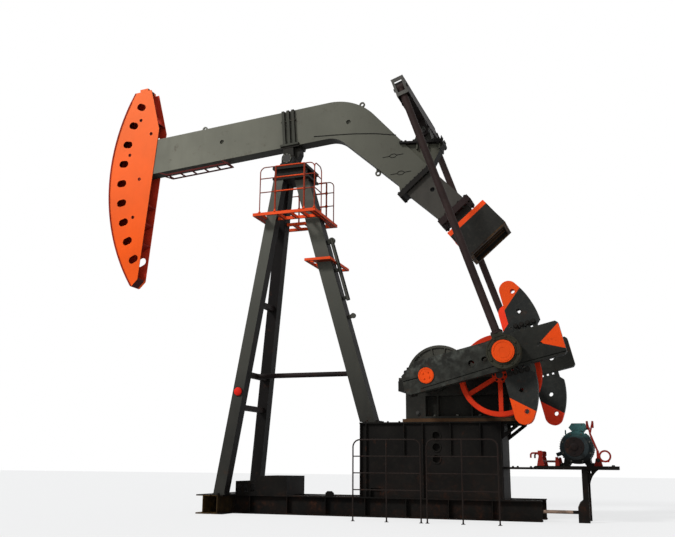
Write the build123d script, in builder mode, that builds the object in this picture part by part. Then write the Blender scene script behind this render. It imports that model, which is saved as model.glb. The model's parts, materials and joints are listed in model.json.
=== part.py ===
from build123d import *
from math import atan2, cos, degrees, hypot, radians, sin
import os

os.makedirs("parts", exist_ok=True)

# Pumpjack with a bent walking beam, in millimetres: +X runs from the horsehead to the motor,
# -Y is the near side and +Z is up. The origin lies on the underside of the skid, under the
# saddle bearing.

# Linkage
pivot_height = 6960
beam_tilt = 4.1
shaft_x = 2985
shaft_height = 2400
crank_radius = 1413
crank_angle = 13.3
tail_bearing_along = 2820
tail_bearing_up = 90

# Clearances
fit_gap = 0.08
run_gap = 6

# Skid
skid_height = 345
skid_half_width = 450
skid_flange_width = 200
skid_flange = 24
skid_web = 16
skid_right = 4760
cross_positions = (0, 800, 1750, 2950, 4050)
front_beam_length = 1760
front_inner_left = -1112
front_inner_width = 224
front_outer_width = 288
front_gap = 34
spacer_y = 330
spacer_width = 160

# Pedestal under the reducer
pedestal_left = 1595
pedestal_right = 4150
pedestal_half_width = 400
pedestal_top = 1645
pedestal_plate = 25
pedestal_rib_positions = (1612, 1720, 2425, 2763, 3261, 3782, 4132)
pedestal_short_ribs = (2425, 3261, 3782)
pedestal_rib = 18
pedestal_rib_short_bottom = 1075
port_x = 3000
port_levels = (1008, 1208, 1408)
port_diameter = 130
port_depth = 70
drain_left = 1790
drain_width = 200
drain_height = 150
outrigger_length = 330
outrigger_half = 400

# Reducer
base_plate_thickness = 55
case_left = -520
case_right = 1560
case_half_width = 430
split_flange = 30
split_flange_reach = 120
cover_radius = 600
cover_rim = 45
cover_rim_reach = 25
cover_rib_angles = (52, 78, 104, 130)
cover_rib = 20
case_leg_length = 360
case_recess_depth = 150
case_recess_top = 300
case_lug_height = 180
case_lug_reach = 130
cover_center = 90
cover_rear_radius = 350
input_shaft_offset = 1215
crank_cap_radius = 270
crank_cap_reach = 130
input_cap_radius = 160
input_cap_reach = 90
crank_shaft_radius = 136
input_shaft_radius = 60

# Sheave and brake drum
sheave_radius = 690
sheave_inner = 615
sheave_width = 160
sheave_hub_radius = 125
sheave_spoke_width = 72
sheave_spokes = 6
brake_radius = 290
brake_width = 130

# Cranks
crank_inner = 830
crank_thickness = 185
crank_top = 285
crank_top_outer = 320
crank_bottom = 250
crank_tail = 430
crank_reach = 2370
crank_tip_chamfer = 40
crank_groove_start = 190
crank_groove_end = 140
crank_slot_level = 212
crank_groove = 14
crank_groove_depth = 28
crank_slit = 16
pin_hole_first = 805
pin_hole_pitch = 233
pin_hole_diameter = 105
tip_hole_along = 1993
tip_hole_diameter = 88
shaft_cap_reach = 20

# Crank weights
weight_inner_seat = 1270
weight_outer_seat = 1580
weight_base = 430
weight_base_width = 520
weight_step = 62
weight_teeth = 4
weight_tooth_gap = 46
weight_tooth_height = 52
weight_tip_up = 1040
weight_tip_radius = 158
weight_hole_diameter = 80
weight_hole_high = (57, -40)
weight_hole_low = (62, -400)

# Pitmans
pitman_spacing = 1243
pitman_radius = 68
pin_housing_radius = 285
pin_housing_width = 180
pin_cap_radius = 186
pin_cap_reach = 42
crank_pin_radius = 80

# Equalizer
equalizer_up = 469
equalizer_depth = 370
equalizer_width = 230
equalizer_half_length = 1340
equalizer_plate = 20
equalizer_belly = 90
yoke_length = 165
yoke_gap = 8
pitman_pin_radius = 35
tail_shaft_radius = 65
tail_housing_radius = 120
tail_housing_half = 150
tail_housing_foot = 210
hanger_gap = 15
hanger_thickness = 60
hanger_radius = 118
tail_seat_drop = 215
seat_tilt = 8.5
seat_left_reach = 460
seat_right_reach = 400
seat_plate = 40
wedge_depth = 470

# Samson post
leg_width = 220
leg_depth = 220
rear_leg_width = 290
rear_plate_reach = 80
rear_leg_depth = 300
front_foot_x = -980
front_foot_y = 755
front_head_x = -181
front_head_y = 142
rear_foot_x = 1664
rear_head_x = 189
foot_plate = 25
saddle_drop = 160
head_plate = 60
head_box = 200
head_collar = 45
head_web = 20
head_half_width = 350
leg_tie_levels = (1950, 2583, 3980)
leg_tie_size = 100
leg_brace_radius = 48

# Saddle bearing
saddle_shaft_radius = 75
saddle_bracket_radius = 130
saddle_bracket_half = 190
cheek_plate = 30
saddle_pillow_thickness = 140
saddle_pillow_radius = 120
saddle_pillow_half = 150
saddle_pad = 30

# Platforms
deck_drop = 1050
deck_left = -578
deck_right = 750
deck_half_width = 650
deck_frame = 60
deck_edge = 45
deck_inner_bar = 230
deck_crossbars = (-480, -60, 200, 440, 640)
bearer_width = 60
rail_radius = 17
rail_thin_radius = 11
rail_levels = (420, 710, 945)
rail_corner = 110
rail_left = -440
rail_near_right = 725
rail_far_right = 670
rail_posts = (-110, 508)
rail_return = 380
rest_drop = 1970
rest_left = 420
rest_right = 960
rest_near = 340
rest_far = 800
rest_frame = 50
rest_edge = 45
rod_low = 2440
rod_high = 3750
rod_offset = 90
rod_radius = 38
rod_bracket_back = 330

# Walking beam
beam_half_width = 151
beam_bottom = 328
beam_top = 1113
beam_end_inset = 910
elbow_top = 1493
elbow_top_radius = 1190
elbow_bottom = 1034
elbow_bottom_radius = 500
knee_back = 184
knee_depth = 292
tail_drop = 53.5
joint_before_bearing = 239
joint_along = tail_bearing_along - joint_before_bearing
joint_up = -896
joint_top = 362
joint_bottom = 370
joint_flange = 50
joint_overhang = 60
joint_half_width = 190
web_hole_diameter = 95
web_hole_depth = 40
web_hole_front = (-1549, 739)
web_hole_rear = (1303, 602)
rib_first = -98
rib_pitch = 108
rib_count = 3
rib_width = 58
rib_depth = 55
collar_left = -190
collar_right = 215
collar_height = 42
band_level = 885
band_height = 24

# Tail
extension_top = 385
extension_top_end = 410
extension_bottom = 300
extension_bottom_end = 190
extension_hole = (360, 107)
extension_hole_diameter = 90
clamp_start = 940
clamp_thickness = 125
clamp_top = 490
clamp_bottom = 250
clamp_half_width = 220
neck_top = 370
neck_bottom = 130
neck_half_width = 120
block_start = 1290
block_length = 630
block_top = 610
block_bottom = 270
block_half_width = 350
block_rim = 60
block_pocket = 90

# Horsehead
head_half = 165
head_plate_thickness = 14
head_arc_radius = 4360
head_top_up = 2340
head_top_depth = 1099
head_vertex_depth = 1285
head_vertex_up = 1353
head_base_depth = 732
head_base_up = -1998
head_bottom_up = -2130
slot_inset = 325
slot_first_angle = 150.8
slot_pitch = 6.46
slot_count = 9
slot_length = 232
slot_width = 160
head_small_holes = ((826, 1652), (1084, 1277), (539, 872), (781, 261), (615, -593))
head_small_hole_diameter = 50
track_thickness = 24
hanger_depth = 910
hanger_height = 60
step_drop = 95
step_start = 330
step_length = 1700
step_slant = 205
step_slant_rear = 130
step_tube = 26
step_rungs = 6
head_rib_thickness = 14
head_rib_positions = (0.5, 1.5, 2.5, 5.5, 6.5, 7.5)

# Motor frame and motor
rail_top = 905
rail_height = 60
rail_step = 24
rail_half_spacing = 300
rail_width = 90
rail_right = 6010
rail_flange = 14
post_x = 5468
post_width = 92
gusset_reach = 150
gusset_drop = 260
motor_x = 5355
motor_height = 1208
motor_radius = 270
motor_front = 320
motor_length = 680
end_bell_radius = 205
end_bell_length = 70
pulley_radius = 150
motor_shaft_radius = 32
motor_bore_depth = 160
terminal_offset = 27
terminal_length = 294
terminal_height = 145
terminal_width = 300
lug_turn = 217
post_foot_length = 190
post_foot_height = 370
tie_bar_height = 165
tie_bar_radius = 28
screw_x = 4765
screw_height = 250
screw_base = 124
screw_head = 80
screw_handle = 160
screw_rod = 15
lever_x = 5695
lever_height = 1000
lever_turn = 99
lever_length = 640
lever_width = 26
lever_bend = (-104, 430)
lever_knee = 146
lever_fork_spread = 44
ring_offset = (111, 66)
ring_radius = 100
ring_width = 30
lever_pin_radius = 20

# Frame between the front legs
foot_frame_left = -850
foot_frame_right = 190
foot_frame_half = 440
foot_frame_height = 340
foot_frame_step = -430
foot_frame_low = 240
foot_frame_wall = 40
foot_windows = 3
lug_x = 1000
lug_length = 160
lug_height = 85

# Guard
guard_y = -1550
guard_left = 1845
guard_panel = 1150
guard_pitch = 1250
guard_levels = (500, 768, 1037, 1306)
guard_radius = 12
guard_count = 2
guard_corner = 120

# Worked out from the linkage
head_plate_top = pivot_height - saddle_drop
deck_level = head_plate_top - deck_drop
rest_level = head_plate_top - rest_drop
beam_end = beam_end_inset - head_arc_radius
pin_x = shaft_x + crank_radius * cos(radians(crank_angle))
pin_z = shaft_height + crank_radius * sin(radians(crank_angle))
tilt_cos = cos(radians(beam_tilt))
tilt_sin = sin(radians(beam_tilt))
tail_x = tail_bearing_along * tilt_cos - tail_bearing_up * tilt_sin
tail_z = pivot_height + tail_bearing_along * tilt_sin + tail_bearing_up * tilt_cos
pitman_length = hypot(tail_x - pin_x, tail_z - pin_z)
pitman_turn = degrees(atan2(tail_z - pin_z, tail_x - pin_x))


def side_plane(x, z, turn=0.0):
    """Upright plane facing the near side, its x axis turned up by turn degrees."""
    direction = (cos(radians(turn)), 0, sin(radians(turn)))
    return Plane(origin=(x, 0, z), x_dir=direction, z_dir=(0, -1, 0))


def slab_offset(sign, inner, outer):
    """Where a slab between two distances from the centreline starts on a side plane."""
    return inner if sign < 0 else -outer


beam_plane = side_plane(0, pivot_height, beam_tilt)
crank_plane = side_plane(shaft_x, shaft_height, crank_angle)
pitman_plane = side_plane(tail_x, tail_z, pitman_turn)
joint_x = joint_along * tilt_cos - joint_up * tilt_sin
joint_z = pivot_height + joint_along * tilt_sin + joint_up * tilt_cos
tail_plane = side_plane(joint_x, joint_z, beam_tilt - tail_drop)
case_plane = side_plane(shaft_x, shaft_height)
sides = (("near", -1), ("far", 1))


def i_section(width, height, flange, web):
    """Rolled I section that stands on the sketch's x axis."""
    with BuildSketch(mode=Mode.PRIVATE) as section:
        with Locations((0, flange / 2), (0, height - flange / 2)):
            Rectangle(width, flange)
        with Locations((0, height / 2)):
            Rectangle(web, height)
    return section.sketch


# Skid with its two long beams and the members between them
skid_left = front_inner_left + front_inner_width
cross_span = 2 * (skid_half_width - skid_flange_width / 2)
with BuildPart() as skid_frame:
    for side, sign in sides:
        with BuildSketch(Plane.YZ.offset(skid_left)):
            with Locations((sign * (skid_half_width - skid_flange_width / 2), 0)):
                add(i_section(skid_flange_width, skid_height, skid_flange, skid_web))
        extrude(amount=skid_right - skid_left)
    for place in cross_positions:
        with BuildSketch(Plane.XZ.offset(-cross_span / 2)):
            with Locations((place, 0)):
                add(i_section(skid_flange_width, skid_height, skid_flange, skid_web))
        extrude(amount=cross_span)
    with BuildSketch(Plane.XZ.offset(skid_half_width - skid_flange_width / 2 - 12)):
        with BuildLine():
            Polyline(
                (lug_x - lug_length / 2, skid_height),
                (lug_x + lug_length / 2, skid_height),
                (lug_x + lug_length / 2, skid_height + 0.6 * lug_height),
                (lug_x + lug_length / 4, skid_height + lug_height),
                (lug_x - lug_length / 4, skid_height + lug_height),
                (lug_x - lug_length / 2, skid_height + 0.6 * lug_height),
                close=True,
            )
        make_face()
    extrude(amount=24)
skid_frame.part.label = "skid_frame"
export_step(skid_frame.part, "parts/skid_frame.step")

# Front cross beams that carry the front legs, with spacers between them
front_outer_left = front_inner_left - front_gap - front_outer_width
with BuildPart() as front_beams:
    for left, width in ((front_inner_left, front_inner_width), (front_outer_left, front_outer_width)):
        with BuildSketch(Plane.XZ.offset(-front_beam_length / 2)):
            with Locations((left + width / 2, 0)):
                add(i_section(width, skid_height, skid_flange, skid_web))
        extrude(amount=front_beam_length)
    with BuildSketch(Plane.XY):
        with Locations(*[(front_inner_left - front_gap / 2, s * spacer_y) for s in (-1, 1)]):
            Rectangle(front_gap, spacer_width)
    extrude(amount=skid_height)
front_beams.part.label = "front_beams"
export_step(front_beams.part, "parts/front_beams.step")

# Pedestal box with its ribs, ports and drain opening
pedestal_body_top = pedestal_top - pedestal_plate
pedestal_length = pedestal_right - pedestal_left
with BuildPart() as pedestal_box:
    with BuildSketch(Plane.XY.offset(skid_height)):
        with Locations((pedestal_left + pedestal_length / 2, 0)):
            Rectangle(pedestal_length, 2 * pedestal_half_width)
    extrude(amount=pedestal_body_top - skid_height)
    for rib_x in pedestal_rib_positions:
        low = pedestal_rib_short_bottom if rib_x in pedestal_short_ribs else skid_height
        with BuildSketch(Plane.XY.offset(low)):
            with Locations((rib_x, 0)):
                Rectangle(pedestal_rib, 2 * skid_half_width)
        extrude(amount=pedestal_body_top - low)
    for sign in (-1, 1):
        with BuildSketch(Plane.XZ.offset(-sign * pedestal_half_width)):
            with Locations(*[(port_x, level) for level in port_levels]):
                Circle(port_diameter / 2)
        extrude(amount=sign * port_depth, mode=Mode.SUBTRACT)
        with BuildSketch(Plane.XZ.offset(-sign * pedestal_half_width)):
            with Locations((drain_left + drain_width / 2, skid_height + drain_height / 2)):
                Rectangle(drain_width, drain_height)
        extrude(amount=sign * port_depth, mode=Mode.SUBTRACT)
    with BuildSketch(Plane.XY.offset(pedestal_body_top)):
        with Locations((pedestal_left + pedestal_length / 2, 0)):
            Rectangle(pedestal_length, 2 * skid_half_width)
    extrude(amount=pedestal_plate)
    with BuildSketch(Plane.XZ.offset(-outrigger_half)):
        with BuildLine():
            Polyline(
                (pedestal_right, pedestal_top),
                (pedestal_right + outrigger_length, pedestal_top),
                (pedestal_right + outrigger_length, pedestal_top - 50),
                (pedestal_right, pedestal_top - 300),
                close=True,
            )
        make_face()
        with BuildLine():
            Polyline(
                (pedestal_right + 45, pedestal_top - 45),
                (pedestal_right + outrigger_length - 90, pedestal_top - 45),
                (pedestal_right + 45, pedestal_top - 195),
                close=True,
            )
        make_face(mode=Mode.SUBTRACT)
    extrude(amount=2 * outrigger_half)
    with BuildSketch(Plane.XZ.offset(-outrigger_half + 30)):
        with Locations((pedestal_right + outrigger_length / 2, pedestal_top - 160)):
            Rectangle(outrigger_length, 320)
    extrude(amount=2 * outrigger_half - 60, mode=Mode.SUBTRACT)
pedestal_box.part.label = "pedestal_box"
export_step(pedestal_box.part, "parts/pedestal_box.step")

# Lower reducer case with its base plate and the bearing caps of its two shafts
case_length = case_right - case_left
case_bottom = pedestal_top + base_plate_thickness - shaft_height
cap_inner = case_half_width + 30
cap_set = (
    (0, crank_cap_radius, crank_shaft_radius, crank_cap_reach),
    (input_shaft_offset, input_cap_radius, input_shaft_radius, input_cap_reach),
)
with BuildPart() as reducer_case:
    with BuildSketch(case_plane):
        with Locations((case_left + case_length / 2, case_bottom / 2)):
            Rectangle(case_length, -case_bottom)
    extrude(amount=case_half_width, both=True)
    recess_top = -case_recess_top
    recess_bottom = case_bottom + 40
    recess_right = case_right - case_leg_length * 0.7
    for sign in (-1, 1):
        face = slab_offset(sign, case_half_width - case_recess_depth, case_half_width)
        with BuildSketch(case_plane.offset(face)):
            with BuildLine():
                Polyline(
                    (case_left + case_leg_length, recess_bottom),
                    (recess_right, recess_bottom),
                    (recess_right, recess_top),
                    (case_left + case_leg_length, recess_top),
                    close=True,
                )
            make_face()
            for place in (0, input_shaft_offset / 2):
                with Locations((place + case_leg_length / 6, (recess_top + recess_bottom) / 2)):
                    Rectangle(cover_rib, recess_top - recess_bottom, mode=Mode.SUBTRACT)
        extrude(amount=case_recess_depth, mode=Mode.SUBTRACT)
    with BuildSketch(case_plane):
        with Locations((case_left + case_length / 2, -split_flange / 2)):
            Rectangle(case_length + 2 * split_flange_reach, split_flange)
        with Locations((case_left - case_lug_reach / 2, -split_flange - case_lug_height / 2)):
            Rectangle(case_lug_reach, case_lug_height)
    extrude(amount=cap_inner, both=True)
    with BuildSketch(case_plane):
        with Locations((case_left - case_lug_reach / 2 - 5, -split_flange - case_lug_height / 2)):
            Rectangle(case_lug_reach, case_lug_height - 60)
    extrude(amount=cap_inner - 60, both=True, mode=Mode.SUBTRACT)
    with BuildSketch(Plane.XY.offset(pedestal_top)):
        with Locations((shaft_x + case_left + case_length / 2 - 20, 0)):
            Rectangle(case_length + 80, 2 * (case_half_width + 15))
    extrude(amount=base_plate_thickness)
    for offset_x, radius, bore, reach in cap_set:
        for sign in (-1, 1):
            with BuildSketch(case_plane.offset(slab_offset(sign, cap_inner, cap_inner + reach))):
                with Locations((offset_x, 0)):
                    Circle(radius)
                    Circle(bore + fit_gap, mode=Mode.SUBTRACT)
            extrude(amount=reach)
reducer_case.part.label = "reducer_case"
export_step(reducer_case.part, "parts/reducer_case.step")

# Reducer cover with its dome
with BuildPart() as reducer_cover:
    with BuildSketch(case_plane):
        with Locations((case_left + case_length / 2, split_flange / 2)):
            Rectangle(case_length + 2 * split_flange_reach, split_flange)
    extrude(amount=cap_inner, both=True)
    with BuildSketch(case_plane):
        with Locations((cover_center, 0)):
            Circle(cover_radius)
        with Locations((input_shaft_offset, 0)):
            Circle(cover_rear_radius)
        with Locations(((cover_center + input_shaft_offset) / 2, cover_rear_radius / 2)):
            Rectangle(input_shaft_offset - cover_center, cover_rear_radius)
        with Locations((0, -2 * cover_radius)):
            Rectangle(8 * cover_radius, 4 * cover_radius, mode=Mode.SUBTRACT)
    extrude(amount=case_half_width - 40, both=True)
    rim_outer = case_half_width - 40 + cover_rim_reach
    with BuildSketch(case_plane):
        with Locations((cover_center, 0)):
            Circle(cover_radius)
            Circle(cover_radius - cover_rim, mode=Mode.SUBTRACT)
            for angle in cover_rib_angles:
                with Locations(Rotation(0, 0, angle)):
                    with Locations((0.7 * cover_radius, 0)):
                        Rectangle(0.52 * cover_radius, cover_rib)
        with Locations((0, -2 * cover_radius)):
            Rectangle(8 * cover_radius, 4 * cover_radius, mode=Mode.SUBTRACT)
    extrude(amount=rim_outer, both=True)
    with BuildSketch(case_plane):
        with Locations((cover_center - cover_radius - 20, 95)):
            Rectangle(120, 190)
    extrude(amount=60, both=True)
reducer_cover.part.label = "reducer_cover"
export_step(reducer_cover.part, "parts/reducer_cover.step")

# Crank shaft, one stub on each side
stub_inner = cap_inner + run_gap
with BuildPart() as crank_shaft:
    for sign in (-1, 1):
        outer = crank_inner + crank_thickness + shaft_cap_reach
        with BuildSketch(case_plane.offset(slab_offset(sign, stub_inner, outer))):
            Circle(crank_shaft_radius)
        extrude(amount=outer - stub_inner)
crank_shaft.part.label = "crank_shaft"
export_step(crank_shaft.part, "parts/crank_shaft.step")


def crank_outline():
    """Crank outline, wider past the pin, with stepped jaws at the clamped end."""
    with BuildSketch(mode=Mode.PRIVATE) as outline:
        with BuildLine():
            Polyline(
                (-crank_tail, 100),
                (-crank_tail, -165),
                (-crank_tail + 30, -crank_bottom + 25),
                (-crank_tail + 90, -crank_bottom),
                (crank_reach - crank_tip_chamfer, -crank_bottom),
                (crank_reach, -crank_bottom + crank_tip_chamfer),
                (crank_reach, crank_top_outer - crank_tip_chamfer),
                (crank_reach - crank_tip_chamfer, crank_top_outer),
                (crank_radius - 110, crank_top_outer),
                (crank_radius - 160, crank_top),
                (-crank_tail / 3, crank_top),
                (-crank_tail + 170, crank_top - 80),
                close=True,
            )
        make_face()
    return outline.sketch


# Cranks with clamp slits, pin holes and the slots that hold the weight bolts
crank_outer = crank_inner + crank_thickness
groove_from = (-crank_tail / 3, -crank_groove_start)
groove_to = (crank_radius - 180, -crank_groove_end)
with BuildPart() as cranks:
    for side, sign in sides:
        with BuildSketch(crank_plane.offset(slab_offset(sign, crank_inner, crank_outer))):
            add(crank_outline())
        extrude(amount=crank_thickness)
    with BuildSketch(crank_plane):
        Circle(crank_shaft_radius)
        with Locations((-crank_tail / 2, 0)):
            Rectangle(crank_tail, crank_slit)
        with Locations((crank_radius, 0), *[(pin_hole_first + n * pin_hole_pitch, 0) for n in range(2)]):
            Circle(pin_hole_diameter / 2)
        with Locations((tip_hole_along, 0)):
            Circle(tip_hole_diameter / 2)
    extrude(amount=crank_outer + 1, both=True, mode=Mode.SUBTRACT)
    for side, sign in sides:
        groove_start = slab_offset(sign, crank_outer - crank_groove_depth, crank_outer)
        with BuildSketch(crank_plane.offset(groove_start)):
            with BuildLine():
                Polyline(
                    groove_from,
                    groove_to,
                    (groove_to[0], groove_to[1] - crank_groove),
                    (groove_from[0], groove_from[1] - crank_groove),
                    close=True,
                )
            make_face()
            with Locations(((weight_inner_seat + crank_reach) / 2, -crank_slot_level)):
                Rectangle(crank_reach - weight_inner_seat, crank_groove)
        extrude(amount=crank_groove_depth, mode=Mode.SUBTRACT)
cranks.part.label = "cranks"
export_step(cranks.part, "parts/cranks.step")


def weight_outline(seat, edge, up):
    """Fin outline on a toothed foot, leaning back to a round tip, over or under the crank."""
    tip = seat + weight_tip_radius
    right = seat + weight_base_width
    foot_left = seat + weight_step
    foot_right = right - weight_step
    shoulder = (tip + weight_tip_radius * cos(radians(25)),
                weight_tip_up + weight_tip_radius * sin(radians(25)))
    with BuildSketch(mode=Mode.PRIVATE) as outline:
        with BuildLine():
            Polyline(
                (seat, weight_tip_up),
                (seat, weight_base),
                (foot_left, weight_base - weight_step),
                (foot_left, edge),
                (foot_right, edge),
                (foot_right, weight_base - weight_step),
                (right, weight_base),
            )
            ThreePointArc((right, weight_base), (right - 45, weight_base + 300), shoulder)
            ThreePointArc(shoulder, (tip, weight_tip_up + weight_tip_radius), (seat, weight_tip_up))
        make_face()
        with Locations(*[(tip + on, weight_tip_up + up) for on, up in (weight_hole_high, weight_hole_low)]):
            Circle(weight_hole_diameter / 2, mode=Mode.SUBTRACT)
        pitch = (foot_right - foot_left) / weight_teeth
        with Locations(*[(foot_left + n * pitch, edge) for n in range(1, weight_teeth)]):
            Rectangle(weight_tooth_gap, 2 * weight_tooth_height, mode=Mode.SUBTRACT)
    if up < 0:
        return outline.sketch.mirror(Plane.XZ)
    return outline.sketch


# Crank weights, two on each crank
weight_inset = 8
for side, sign in sides:
    inner = crank_inner + weight_inset
    high_seat = weight_outer_seat if sign < 0 else weight_inner_seat
    low_seat = weight_inner_seat if sign < 0 else weight_outer_seat
    with BuildPart() as crank_weights:
        with BuildSketch(crank_plane.offset(slab_offset(sign, inner, crank_outer - weight_inset))):
            add(weight_outline(high_seat, crank_top_outer, 1))
            add(weight_outline(low_seat, crank_bottom, -1))
        extrude(amount=crank_thickness - 2 * weight_inset)
    crank_weights.part.label = f"crank_weights_{side}"
    export_step(crank_weights.part, f"parts/crank_weights_{side}.step")

# Sheave on the input shaft
sheave_plane = side_plane(shaft_x + input_shaft_offset, shaft_height)
sheave_inner_face = cap_inner + input_cap_reach + 70
with BuildPart() as sheave:
    with BuildSketch(sheave_plane.offset(sheave_inner_face)):
        Circle(sheave_radius)
        Circle(sheave_inner, mode=Mode.SUBTRACT)
    extrude(amount=sheave_width)
    spoke_length = sheave_inner + 10
    with BuildSketch(sheave_plane.offset(sheave_inner_face + 50)):
        for number in range(sheave_spokes):
            with Locations(Rotation(0, 0, 30 + 360 / sheave_spokes * number)):
                with Locations((spoke_length / 2, 0)):
                    Rectangle(spoke_length, sheave_spoke_width)
    extrude(amount=60)
    with BuildSketch(sheave_plane.offset(sheave_inner_face)):
        Circle(sheave_hub_radius)
    extrude(amount=sheave_width)
    with BuildSketch(sheave_plane.offset(sheave_inner_face)):
        Circle(input_shaft_radius + fit_gap)
    extrude(amount=sheave_width, mode=Mode.SUBTRACT)
sheave.part.label = "sheave"
export_step(sheave.part, "parts/sheave.step")

# Brake drum on the other end of the input shaft
with BuildPart() as brake_drum:
    with BuildSketch(sheave_plane.offset(-sheave_inner_face - brake_width)):
        Circle(brake_radius)
        Circle(input_shaft_radius + fit_gap, mode=Mode.SUBTRACT)
    extrude(amount=brake_width)
    with BuildSketch(sheave_plane.offset(-sheave_inner_face - brake_width)):
        Circle(brake_radius - 30)
        Circle(input_shaft_radius + 50, mode=Mode.SUBTRACT)
    extrude(amount=brake_width / 2, mode=Mode.SUBTRACT)
brake_drum.part.label = "brake_drum"
export_step(brake_drum.part, "parts/brake_drum.step")

# Input shaft, one stub on each side
with BuildPart() as input_shaft:
    for sign, outer in ((-1, sheave_inner_face + sheave_width), (1, sheave_inner_face + brake_width)):
        with BuildSketch(sheave_plane.offset(slab_offset(sign, stub_inner, outer))):
            Circle(input_shaft_radius)
        extrude(amount=outer - stub_inner)
input_shaft.part.label = "input_shaft"
export_step(input_shaft.part, "parts/input_shaft.step")

# Legs of the samson post
foot_level = skid_height + foot_plate
head_level = head_plate_top - head_plate


def front_leg_center(level):
    """Distance along and out to the middle of a front leg at a level."""
    share = (level - foot_level) / (head_level - foot_level)
    along = front_foot_x + share * (front_head_x - front_foot_x)
    return along, front_foot_y + share * (front_head_y - front_foot_y)


def rear_leg_center(level):
    """Distance along to the middle of the rear leg at a level."""
    share = (level - pedestal_top) / (head_level - pedestal_top)
    return rear_foot_x + share * (rear_head_x - rear_foot_x)


with BuildPart() as front_legs:
    for side, sign in sides:
        for level in (foot_level, head_level):
            along, out = front_leg_center(level)
            with BuildSketch(Plane.XY.offset(level)):
                with Locations((along, sign * out)):
                    Rectangle(leg_depth, leg_width)
        loft()
        with BuildSketch(Plane.XY.offset(skid_height)):
            with Locations((front_foot_x, sign * front_foot_y)):
                Rectangle(leg_depth + 40, leg_width + 20)
        extrude(amount=foot_plate)
front_legs.part.label = "front_legs"
export_step(front_legs.part, "parts/front_legs.step")
rear_plate_left = pedestal_left + 5
rear_plate_right = rear_foot_x + rear_leg_depth / 2 + 80
with BuildPart() as rear_leg:
    for level in (pedestal_top + foot_plate, head_level):
        with BuildSketch(Plane.XY.offset(level)):
            with Locations((rear_leg_center(level), 0)):
                Rectangle(rear_leg_depth, rear_leg_width)
    loft()
    with BuildSketch(Plane.XY.offset(pedestal_top)):
        with Locations(((rear_plate_left + rear_plate_right) / 2, 0)):
            Rectangle(rear_plate_right - rear_plate_left, rear_leg_width + 2 * rear_plate_reach)
    extrude(amount=foot_plate)
rear_leg.part.label = "rear_leg"
export_step(rear_leg.part, "parts/rear_leg.step")

# Cross members between the front legs and the brace to the rear leg
brace_level = leg_tie_levels[1]
brace_start = front_leg_center(brace_level)[0]
with BuildPart() as leg_ties:
    for level in leg_tie_levels:
        along, out = front_leg_center(level)
        with BuildSketch(Plane.XZ.offset(-out)):
            with Locations((along, level)):
                Rectangle(leg_tie_size, leg_tie_size)
        extrude(amount=2 * out)
    with BuildSketch(Plane.YZ.offset(brace_start)):
        with Locations((0, brace_level)):
            Circle(leg_brace_radius)
    extrude(amount=rear_leg_center(brace_level) - brace_start)
    add(front_legs.part, mode=Mode.SUBTRACT)
    add(rear_leg.part, mode=Mode.SUBTRACT)
leg_ties.part.label = "leg_ties"
export_step(leg_ties.part, "parts/leg_ties.step")

# Post head: top plate, collar and webs on the three legs
post_head_right = rear_leg_center(head_level) + rear_leg_depth / 2 + 95
post_head_left = front_leg_center(head_level)[0] - leg_depth / 2 - 15
collar_level = head_level - head_box
collar_half = front_leg_center(collar_level)[1] + leg_width / 2 + 25
with BuildPart() as post_head:
    with BuildSketch(Plane.XY.offset(head_level)):
        with Locations(((post_head_left + post_head_right) / 2, 0)):
            Rectangle(post_head_right - post_head_left, 2 * head_half_width)
    extrude(amount=head_plate)
    with BuildSketch(Plane.XY.offset(collar_level)):
        with Locations(((post_head_left + post_head_right) / 2, 0)):
            Rectangle(post_head_right - post_head_left + 40, 2 * collar_half)
    extrude(amount=head_collar)
    for across in (-collar_half + head_web / 2 + 20, 0, collar_half - head_web / 2 - 20):
        with BuildSketch(Plane.XY.offset(collar_level + head_collar)):
            with Locations(((post_head_left + post_head_right) / 2, across)):
                Rectangle(post_head_right - post_head_left - 30, head_web)
        extrude(amount=head_box - head_collar)
    add(front_legs.part, mode=Mode.SUBTRACT)
    add(rear_leg.part, mode=Mode.SUBTRACT)
post_head.part.label = "post_head"
export_step(post_head.part, "parts/post_head.step")

# Saddle bearing pillows on the post head
pivot_plane = side_plane(0, pivot_height)
pillow_drop = pivot_height - head_plate_top
pillow_inner = saddle_bracket_half + run_gap
with BuildPart() as saddle_pillows:
    for sign in (-1, 1):
        outer = pillow_inner + saddle_pillow_thickness
        with BuildSketch(pivot_plane.offset(slab_offset(sign, pillow_inner, outer))):
            Circle(saddle_pillow_radius)
            with Locations((0, -pillow_drop / 2)):
                Rectangle(2 * saddle_pillow_radius, pillow_drop)
            with Locations((0, -pillow_drop + saddle_pad)):
                Rectangle(2 * saddle_pillow_half, 2 * saddle_pad)
            Circle(saddle_shaft_radius + fit_gap, mode=Mode.SUBTRACT)
        extrude(amount=saddle_pillow_thickness)
saddle_pillows.part.label = "saddle_pillows"
export_step(saddle_pillows.part, "parts/saddle_pillows.step")

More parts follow.
